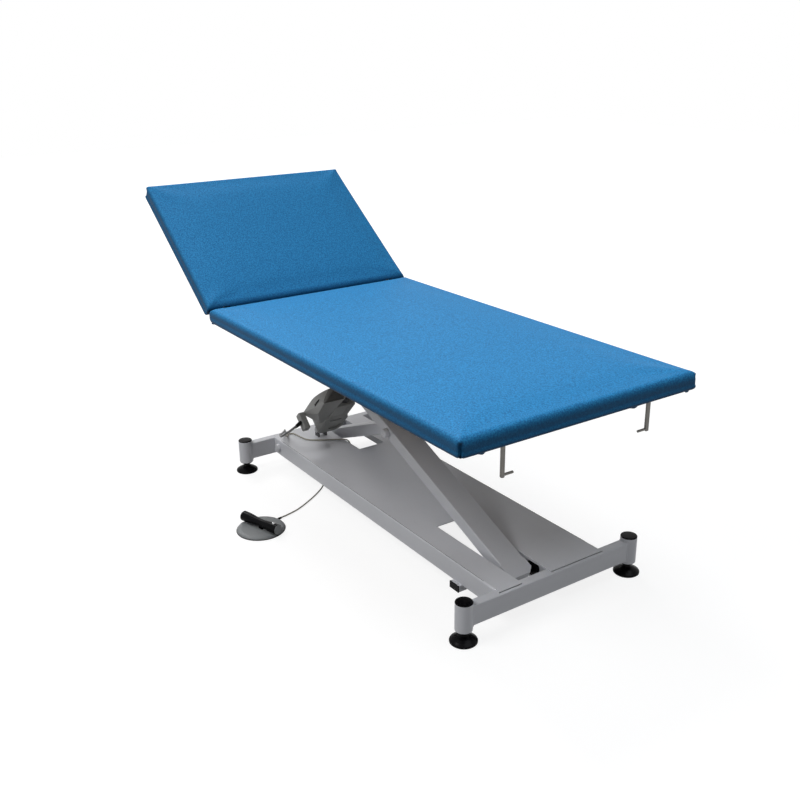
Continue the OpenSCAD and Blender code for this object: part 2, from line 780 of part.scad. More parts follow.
// Closed solid from rings of equal length
module rings_solid(rings) {
  n = len(rings[0]);
  m = len(rings);
  polyhedron(
    points = [for (ring = rings) each ring],
    faces = concat(
      [[for (i = [n - 1 : -1 : 0]) i]],
      [for (k = [0 : m - 2], i = [0 : n - 1]) [k * n + i, k * n + (i + 1) % n, (k + 1) * n + i]],
      [for (k = [0 : m - 2], i = [0 : n - 1]) [k * n + (i + 1) % n, (k + 1) * n + (i + 1) % n, (k + 1) * n + i]],
      [[for (i = [0 : n - 1]) (m - 1) * n + i]]
    )
  );
}

// Cushion with its seam end at x = 0 and its free end at x = len, lying on z = 0
module cushion(len) {
  w = pad_w / 2;
  r = pad_edge_r;
  // Each step holds the inset of the free edges, the inset of the seam end and the height
  steps = concat(
    [[3, nose_r * 0.75, 0], [0.5, nose_r * 0.30, 5]],
    [for (z = [10, 18, 26]) [0, nose_r - sqrt(pow(nose_r, 2) - pow(z - nose_r, 2)), z]],
    [for (a = [0 : 22.5 : 90]) let (z = pad_t - pad_crown - r + r * sin(a))
      [r - r * cos(a), max(r - r * cos(a), nose_r - sqrt(max(pow(nose_r, 2) - pow(z - nose_r, 2), 0))), z]],
    [[50, 55, pad_t - pad_crown * 0.5], [140, 145, pad_t - pad_crown * 0.12], [250, 255, pad_t]]
  );
  rings = [
    for (s = steps)
      let (x0 = s[1], x1 = len - s[0], h = w - s[0], c = max(pad_corner_r - s[0] * 0.5, 3),
           d = s[0] < 40 ? pad_draw : 0)
      [for (p = side_points(outline(x0, x1, h, c, s[2]), 6)) drawn_in(p, x0, x1, h, d)]
  ];
  rings_solid(rings);
}

pocket_l = 68;

module hinge_pockets() {
  for (s = [-1, 1]) translate([0, s * (hinge_y + plate_t / 2 + 1), 0])
    cube([2 * pocket_l, 2 * plate_t + 16, 2 * (nose_r + eye_r + 3)], center = true);
}

module padded_section(len) {
  difference() {
    cushion(len);
    translate([board_inset + nose_r - board_gap, -pad_w / 2 + board_inset - board_gap, -1])
      cube([len - 2 * board_inset - nose_r + 2 * board_gap, pad_w - 2 * board_inset + 2 * board_gap,
            board_t + board_gap + 1]);
    hinge_pockets();
  }
}

module section_board(len) {
  difference() {
    translate([board_inset + nose_r, -pad_w / 2 + board_inset, 0])
      cube([len - 2 * board_inset - nose_r, pad_w - 2 * board_inset, board_t]);
    hinge_pockets();
  }
}

main_pad_len = main_len - seam_inset;
head_pad_len = head_len - seam_inset;

module main_pad() {
  color(blue) translate([seam_x + seam_inset, 0, frame_top]) padded_section(main_pad_len);
}
module main_board() {
  color("burlywood") translate([seam_x + seam_inset, 0, frame_top]) section_board(main_pad_len);
}

/* Backrest, drawn flat and turned about its hinge */

module at_backrest() translate([seam_x, 0, hinge_z]) rotate([0, head_angle, 0]) children();

module backrest_pad() {
  color(blue) at_backrest() translate([-seam_inset, 0, -nose_r]) mirror([1, 0, 0]) padded_section(head_pad_len);
}
module backrest_board() {
  color("burlywood") at_backrest() translate([-seam_inset, 0, -nose_r]) mirror([1, 0, 0])
    section_board(head_pad_len);
}

lever_w = 10;
lever_angle = spring_frame_slope + spring_flat_open;
lever_tip = [spring_r * cos(lever_angle), 0, -spring_r * sin(lever_angle)];

head_rail_y = rail_y + plate_t + 1;
head_rail_x0 = 24;
head_cross_x = 60;
head_overhang = 70;

module backrest_frame() {
  x0 = head_len - head_overhang;
  color(paint) at_backrest() translate([0, 0, -nose_r - rail_h / 2]) {
    for (s = [-1, 1]) translate([0, s * head_rail_y, 0]) tube_x(-x0, -head_rail_x0, rail_w, rail_h, tube_wall);
    for (x = [-x0, -head_cross_x, -x0 / 2]) translate([x + rail_w / 2, 0, 0])
      cube([rail_w, 2 * head_rail_y - rail_w, rail_h], center = true);
  }
}

module backrest_hinge_plates() {
  color(paint) at_backrest()
    for (s = [-1, 1]) translate([0, s * (hinge_y + plate_t + 1), 0])
      hinge_plate_shape(-1, hinge_pin_d + 2 * run_fit);
}

// Lever under the backrest that the gas spring pushes
module spring_lever() {
  color(paint) at_backrest() translate([0, spring_y, 0]) difference() {
    union() {
      translate([-head_cross_x + rail_w / 2, 0, -nose_r - rail_h - 8]) cube([rail_w + 14, 40, 16], center = true);
      for (s = [-1, 1]) translate([0, s * 14, 0]) {
        translate(lever_tip) across(22, 6);
        hull() {
          translate(lever_tip) across(20, 6);
          translate([-head_cross_x + rail_w / 2, 0, -nose_r - rail_h - 6])
            cube([rail_w + 8, 6, 10], center = true);
        }
      }
    }
    translate(lever_tip) across(spring_pin_d + 2 * run_fit, 60);
  }
}

spring_tip = [seam_x, spring_y, hinge_z] + rot_y(lever_tip, head_angle);
spring_v = spring_tip - spring_frame_pin;
spring_len = norm(spring_v);
spring_slope = atan2(-spring_v[2], spring_v[0]);
spring_tube_l = 158;

module along_spring() translate(spring_frame_pin) rotate([0, spring_slope, 0]) children();

// Cylinder of the gas spring with its own pin at the frame
module spring_cylinder() {
  color(black) along_spring() {
    difference() {
      rotate([0, 90, 0]) translate([0, 0, 14]) cylinder(d = spring_d, h = spring_tube_l - 14);
      rotate([0, 90, 0]) translate([0, 0, 22]) cylinder(d = spring_rod_d + 0.6, h = spring_tube_l);
    }
    translate([7, 0, 0]) cube([16, 10, 12], center = true);
    across(14, 10);
    across(spring_pin_d, 42);
  }
}

module spring_rod() {
  color("silver") along_spring() {
    rotate([0, 90, 0]) translate([0, 0, spring_len - 166]) cylinder(d = spring_rod_d, h = 156);
    translate([spring_len - 8, 0, 0]) cube([16, 10, 12], center = true);
    translate([spring_len, 0, 0]) across(14, 10);
    translate([spring_len, 0, 0]) across(spring_pin_d, 42);
  }
}

/* Lift drive */

front_pin = [head_pivot_x, drive_y, top_pivot_z] + rot_y([drive_reach, 0, -drive_drop], arm_angle);
drive_v = front_pin - [drive_x, drive_y, drive_z];
drive_len = norm(drive_v);
drive_slope = atan2(drive_v[2], drive_v[0]);
gear_x0 = 40;
guide_end = 276;
rod_bore_x = 112;

module along_drive() translate([drive_x, drive_y, drive_z]) rotate([0, -drive_slope, 0]) children();

// Box with rounded edges along Z
module soft_box(x0, x1, y0, y1, z0, z1, r) {
  hull() for (x = [x0 + r, x1 - r], y = [y0 + r, y1 - r]) translate([x, y, z0 + 3]) {
    cylinder(r = r, h = z1 - z0 - 6, $fn = 32);
    translate([0, 0, -3]) cylinder(r = r - 2, h = z1 - z0, $fn = 32);
  }
}

// Recess with round ends in the housing's flat underside
module oval_recess(s, y, l, w, depth) {
  translate([s, y, -gear_t / 2]) {
    cube([w, l - w, 2 * depth], center = true);
    for (e = [-1, 1]) translate([0, e * (l - w) / 2, 0]) cylinder(d = w, h = 2 * depth, center = true);
  }
}

front_half_w = 35;
rear_end = 160;
label_x = 205;
label_y = -16;

// Gear housing: a wide rounded rear with two recesses and a slimmer front with the label's place
module drive_housing() {
  w = gear_w / 2;
  t = gear_t / 2;
  color(shell) along_drive() difference() {
    union() {
      soft_box(gear_x0, rear_end, -w, w, -t, t, 24);
      soft_box(gear_x0 + 30, gear_len, -w, front_half_w, -t, t, 8);
      across(28, 24);
      translate([0, -12, -13]) cube([gear_x0 + 12, 24, 26]);
    }
    across(rear_pin_d + 2 * run_fit, 30);
    translate([rod_bore_x, 0, 0]) rotate([0, 90, 0]) cylinder(d = rod_d + 2, h = gear_len);
    oval_recess(rear_end - 22, -4, 46, 13, 5);
    oval_recess(gear_x0 + 38, 14, 50, 36, 6);
    translate([label_x, label_y, -t]) cube([66, 50, 1.6], center = true);
  }
}

// Motor cover beside the gear housing: round at the top, with a flat underside that reaches further out
cover_y = -gear_w / 2;
cover_w = 54;
cover_x0 = 108;
cover_x1 = 284;
cover_big_r = 76;
cover_low_x1 = 318;
cover_low_y = -36;
cap_t = 7;
end_slope = atan2(cover_low_x1 - cover_x1, gear_t - 4);

module cover_form() {
  t = gear_t / 2;
  near = cover_y - cover_w;
  hull() {
    translate([cover_x0 + 8, near + 8, t - 4]) cylinder(r = 8, h = 4, $fn = 32);
    translate([cover_x0 + 8, cover_y - 8, t - 4]) cylinder(r = 8, h = 4, $fn = 32);
    translate([cover_x1 - cover_big_r, near + cover_big_r, t - 4]) cylinder(r = cover_big_r, h = 4, $fn = 64);
    translate([cover_x0 + 44, cover_y - 20, -t]) cylinder(r = 8, h = 4, $fn = 32);
    translate([cover_x0 + 130, near - 2, -t]) cylinder(r = 8, h = 4, $fn = 32);
    translate([cover_low_x1 - 12, near - 4, -t]) cylinder(r = 12, h = 4, $fn = 32);
    translate([cover_low_x1 - 8, cover_low_y - 8, -t]) cylinder(r = 8, h = 4, $fn = 32);
  }
}

// Space in front of the sloping joint between the motor cover and its end cap
module end_space() {
  translate([cover_x1 - cap_t, 0, gear_t / 2]) rotate([0, -end_slope, 0])
    translate([0, -gear_w - cover_w, -2 * gear_t]) cube([gear_len, 2 * gear_len, 3 * gear_t]);
}

guide_d = 46;
guide_room = 4;

// Space of the gear housing and of the guide tube in front of it
module gear_space() {
  translate([0, cover_y, -gear_t]) cube([gear_len, 2 * gear_w, 2 * gear_t]);
  translate([gear_len, -guide_d / 2 - guide_room, -gear_t]) cube([gear_len, 2 * gear_w, 2 * gear_t]);
}

module drive_motor_cover() {
  color(shell) along_drive() difference() {
    cover_form();
    gear_space();
    end_space();
  }
}

module drive_end_cap() {
  color(black) along_drive() intersection() {
    difference() {
      cover_form();
      gear_space();
    }
    end_space();
  }
}

box_w = 28;
box_y = cover_y - cover_w - 26;

// Low box on the cover's near face, where both cords come in
module drive_cable_box() {
  color(shell) along_drive() difference() {
    soft_box(cover_x0 - 4, cover_x0 - 4 + box_w, box_y, cover_y - cover_w, -gear_t / 2, gear_t / 2 - 2, 6);
    cover_form();
  }
}

// Ridged reliefs: the cord for the foot switch and the mains lead leave side by side
relief_l = 26;
relief_x = [cover_x0 + 4, cover_x0 + 18];
relief_t = -4;
relief_droop = 22;
function relief_end(i) = [relief_x[i], box_y, relief_t] - relief_l * [0, cos(relief_droop), sin(relief_droop)];

module ridged_relief(d) {
  rings = 4;
  rotate([90 + relief_droop, 0, 0]) {
    cylinder(d1 = d + 5, d2 = d + 1.6, h = relief_l);
    for (i = [0 : rings - 1]) translate([0, 0, 5 + i * 5]) cylinder(d = d + 6.5 - i, h = 2.6);
  }
}

module cable_relief() {
  color(black) along_drive() difference() {
    union() {
      translate([relief_x[0], box_y, relief_t]) ridged_relief(thin_d);
      translate([relief_x[1], box_y, relief_t]) ridged_relief(mains_d);
    }
    translate([cover_x0 - 20, box_y, -gear_t]) cube([2 * box_w, 30, 2 * gear_t]);
  }
}

module drive_guide_tube() {
  color(black) along_drive() rotate([0, 90, 0]) translate([0, 0, gear_len]) difference() {
    cylinder(d = guide_d, h = guide_end - gear_len);
    translate([0, 0, -1]) cylinder(d = rod_d + 2 * run_fit, h = guide_end);
  }
}

eye_w = 16;
eye_neck = 36;
rod_l = 200;

// Round rod that ends in a flat eye between the arm's lugs
module drive_push_rod() {
  color("silver") along_drive() difference() {
    union() {
      rotate([0, 90, 0]) translate([0, 0, drive_len - rod_l]) cylinder(d = rod_d, h = rod_l - eye_neck + 2);
      translate([drive_len - eye_neck / 2, 0, 0]) cube([eye_neck, eye_w, rod_d - 6], center = true);
      translate([drive_len, 0, 0]) across(rod_d - 4, eye_w);
    }
    translate([drive_len, 0, 0]) across(front_pin_d + 2 * run_fit, 20);
  }
}

module drive_front_pin() {
  color("silver") along_drive() translate([drive_len, 0, 0]) {
    across(front_pin_d, lug_gap + 2 * lug_t + 8);
    for (s = [-1, 1]) translate([0, s * (lug_gap / 2 + lug_t + 2.8), 0]) across(front_pin_d + 8, 3);
  }
}

/* Paper roll arms */

module roll_arm(s) {
  bottom = frame_top - roll_drop;
  top = frame_top - 0.3;
  color("silver") translate([roll_x, s * roll_y, 0]) {
    translate([0, 0, bottom + 2]) cylinder(d = roll_d, h = top - bottom - 2);
    translate([0, 0, bottom]) cylinder(d1 = roll_d - 4, d2 = roll_d, h = 2);
    translate([0, 0, top - roll_head]) cylinder(d = roll_d + 6, h = roll_head);
    translate([0, 0, frame_top - roll_plate - 4.3]) cylinder(d = roll_d + 4, h = 4);
    translate([0, 0, bottom + 6]) rotate([s * 90, 0, 0]) cylinder(d = roll_pin_d, h = roll_d / 2 + roll_pin_len);
  }
}

/* Cords */

// Smooth curve through hand-chosen points, each span in k steps
function spline(p, k) = concat(
  [for (i = [0 : len(p) - 2])
    let (a = p[max(i - 1, 0)], b = p[i], c = p[i + 1], d = p[min(i + 2, len(p) - 1)])
      for (j = [0 : k - 1]) let (t = j / k)
        0.5 * (2 * b + (c - a) * t + (2 * a - 5 * b + 4 * c - d) * t * t + (3 * b - a - 3 * c + d) * t * t * t)],
  [p[len(p) - 1]]
);
function path_length(p, i = 0) = i >= len(p) - 1 ? 0 : norm(p[i + 1] - p[i]) + path_length(p, i + 1);
function headings(p) = [
  for (i = [0 : len(p) - 1]) unit(p[min(i + 1, len(p) - 1)] - p[max(i - 1, 0)])
];
function next_side(s, t) = unit(s - (s * t) * t);
function sides(t, s, i = 0) = i >= len(t) ? [] : let (n = next_side(s, t[i])) concat([n], sides(t, n, i + 1));

module cord_tube(p, d, n) {
  t = headings(p);
  start = abs(t[0][2]) > 0.9 ? [1, 0, 0] : [0, 0, 1];
  s = sides(t, start);
  rings_solid([
    for (i = [0 : len(p) - 1]) let (b = cross(t[i], s[i]))
      [for (j = [0 : n - 1]) p[i] + d / 2 * (cos(360 * j / n) * s[i] + sin(360 * j / n) * b)]
  ]);
}

relief_out = [0, -cos(relief_droop), -sin(relief_droop)];
cord_out = rot_y(relief_out, -drive_slope);
thin_start = [drive_x, drive_y, drive_z] + rot_y(relief_end(0), -drive_slope) + cord_gap * cord_out;
mains_start = [drive_x, drive_y, drive_z] + rot_y(relief_end(1), -drive_slope) + cord_gap * cord_out;
gland_out = switch_d / 2 + 0.1 + gland_l;
gland_end = [switch_x + gland_out * cos(gland_dir), -switch_y + gland_out * sin(gland_dir), 5];
gland_step = 12 * [cos(gland_dir), sin(gland_dir), 0];

// From the drive over the tray, down through the cut-out and out along the floor
thin_route = [
  thin_start, thin_start + 8 * cord_out,
  [-453.9, -208.1, 199.1], [-456.6, -214.2, 195], [-461.8, -217.8, 190.5], [-468.6, -218.2, 186.6],
  [-480, -215, 181], [-495, -209, 173], [-512, -202, 163], [-534, -191, 149], [-558, -178, 135],
  [-581, -163, 123], [-600, -152, 116], [-611, -147, 114.2], [-616, -136, 113.6], [-611, -125, 113.5],
  [-600, -120, 113.5], [-582, -118, 113.5], [-558, -115, 113.5], [-530, -107, 113.5], [-506, -82, 113.5],
  [-486, -48, 113.5], [-470, -20, 113.5], [-457, -4, 114.2],
  [-445, 7, 113.8], [-436.5, 13, 106], [-432, 16, 90], [-428, 17, 66], [-422, 17, 40], [-411, 19, 17],
  [-392, 26, 4.5], [-360, 40, 3], [-300, 58, 3], [-236, 52, 3], [-200, 22, 3], [-196, -18, 3],
  [-226, -48, 3], [-280, -60, 3], [-350, -54, 3], [-420, -48, 3], [-456, -60, 3], [-468, -84, 3],
  [-448, -108, 3], [-404, -122, 3], [-368, -140, 3], [-330, -182, 3], [-292, -238, 3], [-258, -300, 3],
  gland_end + gland_step * 2 - [0, 0, 1.5], gland_end + gland_step - [0, 0, 0.4], gland_end
];

coil_x = 20;
coil_y = 70;
coil_pitch = mains_d + 0.9;
coil_z = mains_d / 2 + 0.2;
coil_layer = mains_d + 0.8;

// From the drive over the tray's head edge, down behind the base and along the floor to the coil
mains_route = [
  mains_start, mains_start + 9 * cord_out,
  [-443, -215.4, 206.3], [-446.9, -227.3, 198.5], [-455.4, -235.4, 189.6], [-467, -238.4, 181.1],
  [-479.9, -235.8, 174.4], [-494, -231, 169], [-510, -224.5, 163], [-530, -215, 157], [-556, -203, 148],
  [-584, -184, 135], [-614, -162, 126], [-636, -146, 120], [-652, -136, 115.8], [-665, -129, 108],
  [-674, -124, 94], [-679, -119, 70], [-679, -113, 46], [-674, -104, 26], [-660, -90, 11],
  [-636, -70, 4.5], [-600, -40, 4], [-530, 30, 4], [-440, 92, 4], [-300, 116, 4], [-200, 84, 4],
  [-130, 34, 4], [-94, 9, 4], [-70, 1, 4], [-48, 7, 4], [-35.5, 24, 3.8],
  [coil_x - coil_r, coil_y - 26, coil_z], [coil_x - coil_r, coil_y - mains_d, coil_z]
];

// Turns done at a turn count u, counted from the coil's outside
coil_end_u = 2 * coil_turns + 0.5;
function coil_depth(u) = min(u, coil_turns, coil_end_u - u);
// Share of the half turn in which the cord climbs to the upper layer
function climb(u) = min(max(2 * (u - coil_turns), 0), 1);
function coil_rad(u) = coil_r - coil_pitch * coil_depth(u) - 2.4 * sin(180 * climb(u));
coil_points = concat(
  [[coil_x - coil_r, coil_y - mains_d, coil_z]],
  [for (i = [0 : 24 * coil_end_u])
    let (u = i / 24, a = 180 - 360 * u)
      [coil_x + coil_rad(u) * cos(a), coil_y + coil_rad(u) * sin(a), coil_z + coil_layer * climb(u)]],
  [[coil_x + coil_r, coil_y - mains_d, coil_z + coil_layer]]
);
coil_gap = min([
  for (i = [0 : len(coil_points) - 1], j = [i + 12 : 1 : len(coil_points) - 1])
    norm(coil_points[i] - coil_points[j])
]) - mains_d;
echo(coil_least_gap = coil_gap);

module foot_switch_cord() { color(shell) cord_tube(spline(thin_route, 2), thin_d, 8); }
module mains_lead() { color(shell) cord_tube(spline(mains_route, 2), mains_d, 8); }
module mains_coil() { color(shell) cord_tube(coil_points, mains_d, 6); }

// Flat two-pin plug beside the coil
module mains_plug() {
  plug_z = coil_z + coil_layer;
  color(black) translate([coil_x + coil_r, coil_y - mains_d, 0]) rotate([0, 0, -90]) {
    translate([0, 0, plug_z]) rotate([0, 90, 0]) cylinder(d1 = mains_d + 2, d2 = mains_d + 8, h = 22);
    hull() {
      translate([22, 0, plug_z]) rotate([0, 90, 0]) cylinder(d = 16, h = 4, $fn = 32);
      for (s = [-1, 1]) translate([52, s * 9, 12]) rotate([0, 90, 0]) cylinder(r = 11, h = 6, $fn = 32);
    }
    for (s = [-1, 1]) translate([57, s * 9.5, 12]) rotate([0, 90, 0]) cylinder(d = 4.8, h = 20);
  }
}

echo(thin_cord_length = path_length(spline(thin_route, 2)));
echo(mains_length = path_length(spline(mains_route, 2)) + path_length(coil_points));

base_ends();
post_caps();
foot_bushes();
level_foot([-post_dx / 2, -post_dy / 2]);  // foot_head_near
level_foot([-post_dx / 2, post_dy / 2]);  // foot_head_far
level_foot([post_dx / 2, -post_dy / 2]);  // foot_foot_near
level_foot([post_dx / 2, post_dy / 2]);  // foot_foot_far
tray();
stiffener_tube();
stiffener_plugs();
roller_rails();
axle_brackets();
lower_axle();
drive_bracket();
drive_rear_pin();
switch_base();
switch_saddle();
switch_gland();
foot_pedal();
pedal_end_caps();
arm_b_tube();
arm_b_lower_end();
arm_b_upper_end();
middle_pin();
upper_rollers();
arm_a_tube();
arm_a_lower_end();
arm_a_upper_end();
drive_lugs();
lower_rollers();
frame_rails();
frame_crosses();
frame_lugs();
arm_tracks();
frame_plugs();
upper_axle();
hinge_plates();
main_board();
main_pad();
backrest_frame();
backrest_hinge_plates();
spring_lever();
backrest_board();
backrest_pad();
spring_cylinder();
spring_rod();
drive_housing();
drive_motor_cover();
drive_end_cap();
drive_cable_box();
cable_relief();
drive_guide_tube();
drive_push_rod();
drive_front_pin();
roll_arm(-1);  // roll_arm_near
roll_arm(1);  // roll_arm_far
foot_switch_cord();
mains_lead();
mains_coil();
mains_plug();
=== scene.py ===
# %% [markdown]
# # An examination table in Blender
# The table is a padded top in two sections on a steel frame.
# A pair of crossed arms and an electric drive lift it, and a rocker on the floor works the drive.
# The rigid pieces come from the CAD model, so Blender only has to dress them.
# The cushions, the cords, the small parts and the finishes are made here.

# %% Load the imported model
import json
import math

import bmesh
import bpy
from mathutils import Matrix, Vector, noise


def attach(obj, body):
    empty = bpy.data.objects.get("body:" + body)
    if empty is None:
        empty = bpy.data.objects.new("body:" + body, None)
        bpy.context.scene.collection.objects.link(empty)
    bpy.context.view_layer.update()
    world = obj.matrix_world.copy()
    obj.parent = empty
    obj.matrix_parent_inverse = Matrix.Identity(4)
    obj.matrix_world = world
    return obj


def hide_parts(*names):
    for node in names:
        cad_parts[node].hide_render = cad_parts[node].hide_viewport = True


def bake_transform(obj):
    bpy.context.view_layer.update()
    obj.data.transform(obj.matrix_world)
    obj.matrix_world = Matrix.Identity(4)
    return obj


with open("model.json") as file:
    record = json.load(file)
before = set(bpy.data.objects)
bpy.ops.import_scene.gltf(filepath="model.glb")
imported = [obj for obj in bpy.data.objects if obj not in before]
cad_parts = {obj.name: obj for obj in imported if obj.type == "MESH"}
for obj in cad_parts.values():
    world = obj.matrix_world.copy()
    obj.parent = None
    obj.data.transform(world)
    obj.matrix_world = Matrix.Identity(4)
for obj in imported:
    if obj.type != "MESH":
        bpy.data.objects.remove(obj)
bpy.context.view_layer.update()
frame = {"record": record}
MM = 0.001

# %% [markdown]
# ## Camera
# A photograph's perspective is settled by where the camera stood and by its field of view.
# The heading, pitch and roll below were fitted to the table's straight edges.
# Turning them into three axes keeps the numbers readable, which a pasted matrix wouldn't.

# %% Camera
CAMERA_PLACE = Vector((2.28235, -1.58763, 1.46024))
HEADING, PITCH, ROLL = (math.radians(a) for a in (56.15, 20.76, -0.71))
LENS_MM, SENSOR_MM, FAR_CLIP = 42.60, 36, 50


def add(name, data):
    made = bpy.data.objects.new(name, data)
    bpy.context.scene.collection.objects.link(made)
    return made


level_right = Vector((math.cos(HEADING), math.sin(HEADING), 0))
forward = Vector((
    -math.sin(HEADING) * math.cos(PITCH), math.cos(HEADING) * math.cos(PITCH), -math.sin(PITCH)))
level_up = level_right.cross(forward)
right = math.cos(ROLL) * level_right + math.sin(ROLL) * level_up
up = right.cross(forward)

camera = add("camera", bpy.data.cameras.new("camera"))
camera.data.lens = LENS_MM
camera.data.sensor_width = SENSOR_MM
camera.data.clip_end = FAR_CLIP
camera.matrix_world = Matrix.Translation(CAMERA_PLACE) @ Matrix((right, up, -forward)).transposed().to_4x4()
bpy.context.scene.camera = camera
print("camera looks along", [round(v, 3) for v in forward])

# %% [markdown]
# ## Shader maths as Python
# Node trees are easier to read as formulas than as a list of links.
# A small class wraps a socket, and each operator on it adds one Math node.
# Colours go through Mix nodes instead, because a Math node would turn them grey.
# A finish holds one node tree, of a material or of the world, and its nodes come from one method.

# %% Numbers on sockets
class Number:
    def __init__(self, finish, socket):
        self.finish = finish
        self.socket = socket

    def math(self, operation, *values):
        return self.finish.node("ShaderNodeMath", {"operation": operation}, dict(enumerate(values)))

    def __add__(self, other):
        return self.math("ADD", self, other)

    def __sub__(self, other):
        return self.math("SUBTRACT", self, other)

    def __rsub__(self, other):
        return self.math("SUBTRACT", other, self)

    def __mul__(self, other):
        return self.math("MULTIPLY", self, other)

    def __pow__(self, other):
        return self.math("POWER", self, other)

    def sine(self):
        return self.math("SINE", self)

    def clamped(self):
        return self.math("MINIMUM", self.math("MAXIMUM", self, 0.0), 1.0)

    __radd__ = __add__
    __rmul__ = __mul__


# %% Finishes as objects
class Finish:
    def __init__(self, holder):
        self.holder = holder
        self.holder.use_nodes = True
        self.tree = self.holder.node_tree
        self.shader = next(n for n in self.tree.nodes if n.type in ("BSDF_PRINCIPLED", "BACKGROUND"))

    def node(self, kind, settings=None, inputs=None, output=0):
        made = self.tree.nodes.new(kind)
        for key, value in (settings or {}).items():
            setattr(made, key, value)
        for key, value in (inputs or {}).items():
            self.put(made.inputs[key], value)
        return Number(self, made.outputs[output])

    def put(self, socket, value):
        if isinstance(value, Number):
            self.tree.links.new(value.socket, socket)
        elif isinstance(value, tuple) and len(value) == 3 and socket.type == "RGBA":
            socket.default_value = (*value, 1)
        else:
            socket.default_value = value

    def place(self):
        return self.node("ShaderNodeTexCoord", output="Object")

    def facing_up(self):
        normal = self.node("ShaderNodeNewGeometry", output="Normal")
        return self.node("ShaderNodeSeparateXYZ", {}, {0: normal}, "Z")

    def seen(self):
        kinds = ("Is Camera Ray", "Is Glossy Ray", "Is Transmission Ray")
        camera_ray, glossy, through = (self.node("ShaderNodeLightPath", output=kind) for kind in kinds)
        return (camera_ray + glossy + through).clamped()

    def noise(self, scale, detail=3, roughness=0.5, at=None):
        return self.node("ShaderNodeTexNoise", {}, {
            "Vector": at or self.place(), "Scale": scale, "Detail": detail, "Roughness": roughness})

    # Sockets 6 and 7 of a Mix node are its two colours, and output 2 is the mixed colour.
    def mix(self, factor, a, b):
        return self.node("ShaderNodeMix", {"data_type": "RGBA"}, {0: factor, 6: a, 7: b}, 2)

    def bump(self, height, depth, strength=1.0):
        return self.node("ShaderNodeBump", {}, {"Height": height, "Distance": depth, "Strength": strength})

    def surface(self, **values):
        for key, value in values.items():
            self.put(self.shader.inputs[key.replace("_", " ")], value)
        return self.holder


print("shader maths ready")

# %% [markdown]
# ## Finishes
# Each finish is what the maker used: powder coat, moulded plastic, zinc-plated steel, vinyl, plywood.
# None of them is one flat colour up close.
# Powder coat has a fine orange peel and a little dust on its upward faces.

# %% Powder coat
FLOOR_DUST = (0.50, 0.49, 0.46)


def powder_coat(name, colour, rough=0.42, dust=0.10):
    f = Finish(bpy.data.materials.new(name))
    peel = f.noise(900, 2)
    cloud = f.noise(7, 4)
    scuffs = ((f.noise(38, 6, 0.7) - 0.62).clamped() * 3).clamped()
    settled = (f.facing_up().clamped() ** 6) * (f.noise(60, 5, 0.7) * dust)
    body = f.mix((cloud * 0.5).clamped(), colour, tuple(c * 0.88 for c in colour))
    worn = f.mix(scuffs, body, tuple(c * 0.78 for c in colour))
    return f.surface(
        Base_Color=f.mix(settled, worn, FLOOR_DUST),
        Roughness=cloud * 0.12 + (rough - 0.04) + scuffs * 0.1,
        Normal=f.bump(peel, 0.0001, 0.45))


frame_paint = powder_coat("frame_paint", (0.68, 0.69, 0.73))
# dark_paint also colours the strips of painted shade under the tray's foot end.
dark_paint = powder_coat("dark_paint", (0.035, 0.035, 0.038), 0.35)
print("powder coats made")

# %% [markdown]
# ## Plastics
# The drive's shell is coarse grey plastic, the caps and glides are glossy black, and the glides gather dust.
# A noise that is mixed towards a paler grey stands for that dust, and a finer one is the mould's grain.

# %% Moulded plastic and rubber
DUST_GREY, DUST_COVER = 0.35, 0.25


def moulded(name, colour, rough, grain=0.0, dust=0.25, shine=0.4):
    f = Finish(bpy.data.materials.new(name))
    grains = f.noise(1400, 2)
    cloud = f.noise(22, 5, 0.65)
    dusty = tuple(c + dust * (DUST_GREY - c) * DUST_COVER for c in colour)
    return f.surface(
        Base_Color=f.mix(((cloud - 0.45) * 2.2).clamped(), colour, dusty),
        Roughness=(cloud * 0.18 + (rough - 0.06)).clamped(),
        Specular_IOR_Level=shine,
        Normal=f.bump(grains, 0.00025, 0.15 + grain))


black_plastic = moulded("black_plastic", (0.004, 0.004, 0.005), 0.20, 0.0, 0.02, 0.05)
black_rubber = moulded("black_rubber", (0.010, 0.010, 0.010), 0.62, 0.3, 0.05, 0.1)
cap_plastic = moulded("cap_plastic", (0.060, 0.058, 0.052), 0.45, 0.4)
drive_shell = moulded("drive_shell", (0.240, 0.242, 0.235), 0.42, 0.45, 0.35)
switch_grey = moulded("switch_grey", (0.200, 0.210, 0.215), 0.42, 0.2, 0.4)
cord_beige = moulded("cord_beige", (0.330, 0.310, 0.260), 0.45)
cord_grey = moulded("cord_grey", (0.150, 0.148, 0.150), 0.45)
print("plastics made")

# %% [markdown]
# ## Steel
# Pins and the gas spring's rod are bright, and the roll arms have a dull grey zinc coat.
# Both are metallic, with a fine spangle in their roughness.

# %% Zinc-plated steel
def plated_steel(name, colour, rough):
    f = Finish(bpy.data.materials.new(name))
    cloud = f.noise(60, 4, 0.6)
    spangle = f.noise(480, 2)
    return f.surface(
        Base_Color=f.mix(cloud, colour, tuple(c * 0.7 for c in colour)),
        Metallic=1.0,
        Roughness=spangle * 0.14 + rough,
        Normal=f.bump(spangle, 0.00006, 0.4))


bright_steel = plated_steel("bright_steel", (0.50, 0.50, 0.51), 0.24)
dull_steel = plated_steel("dull_steel", (0.15, 0.145, 0.135), 0.34)
print("steel made")
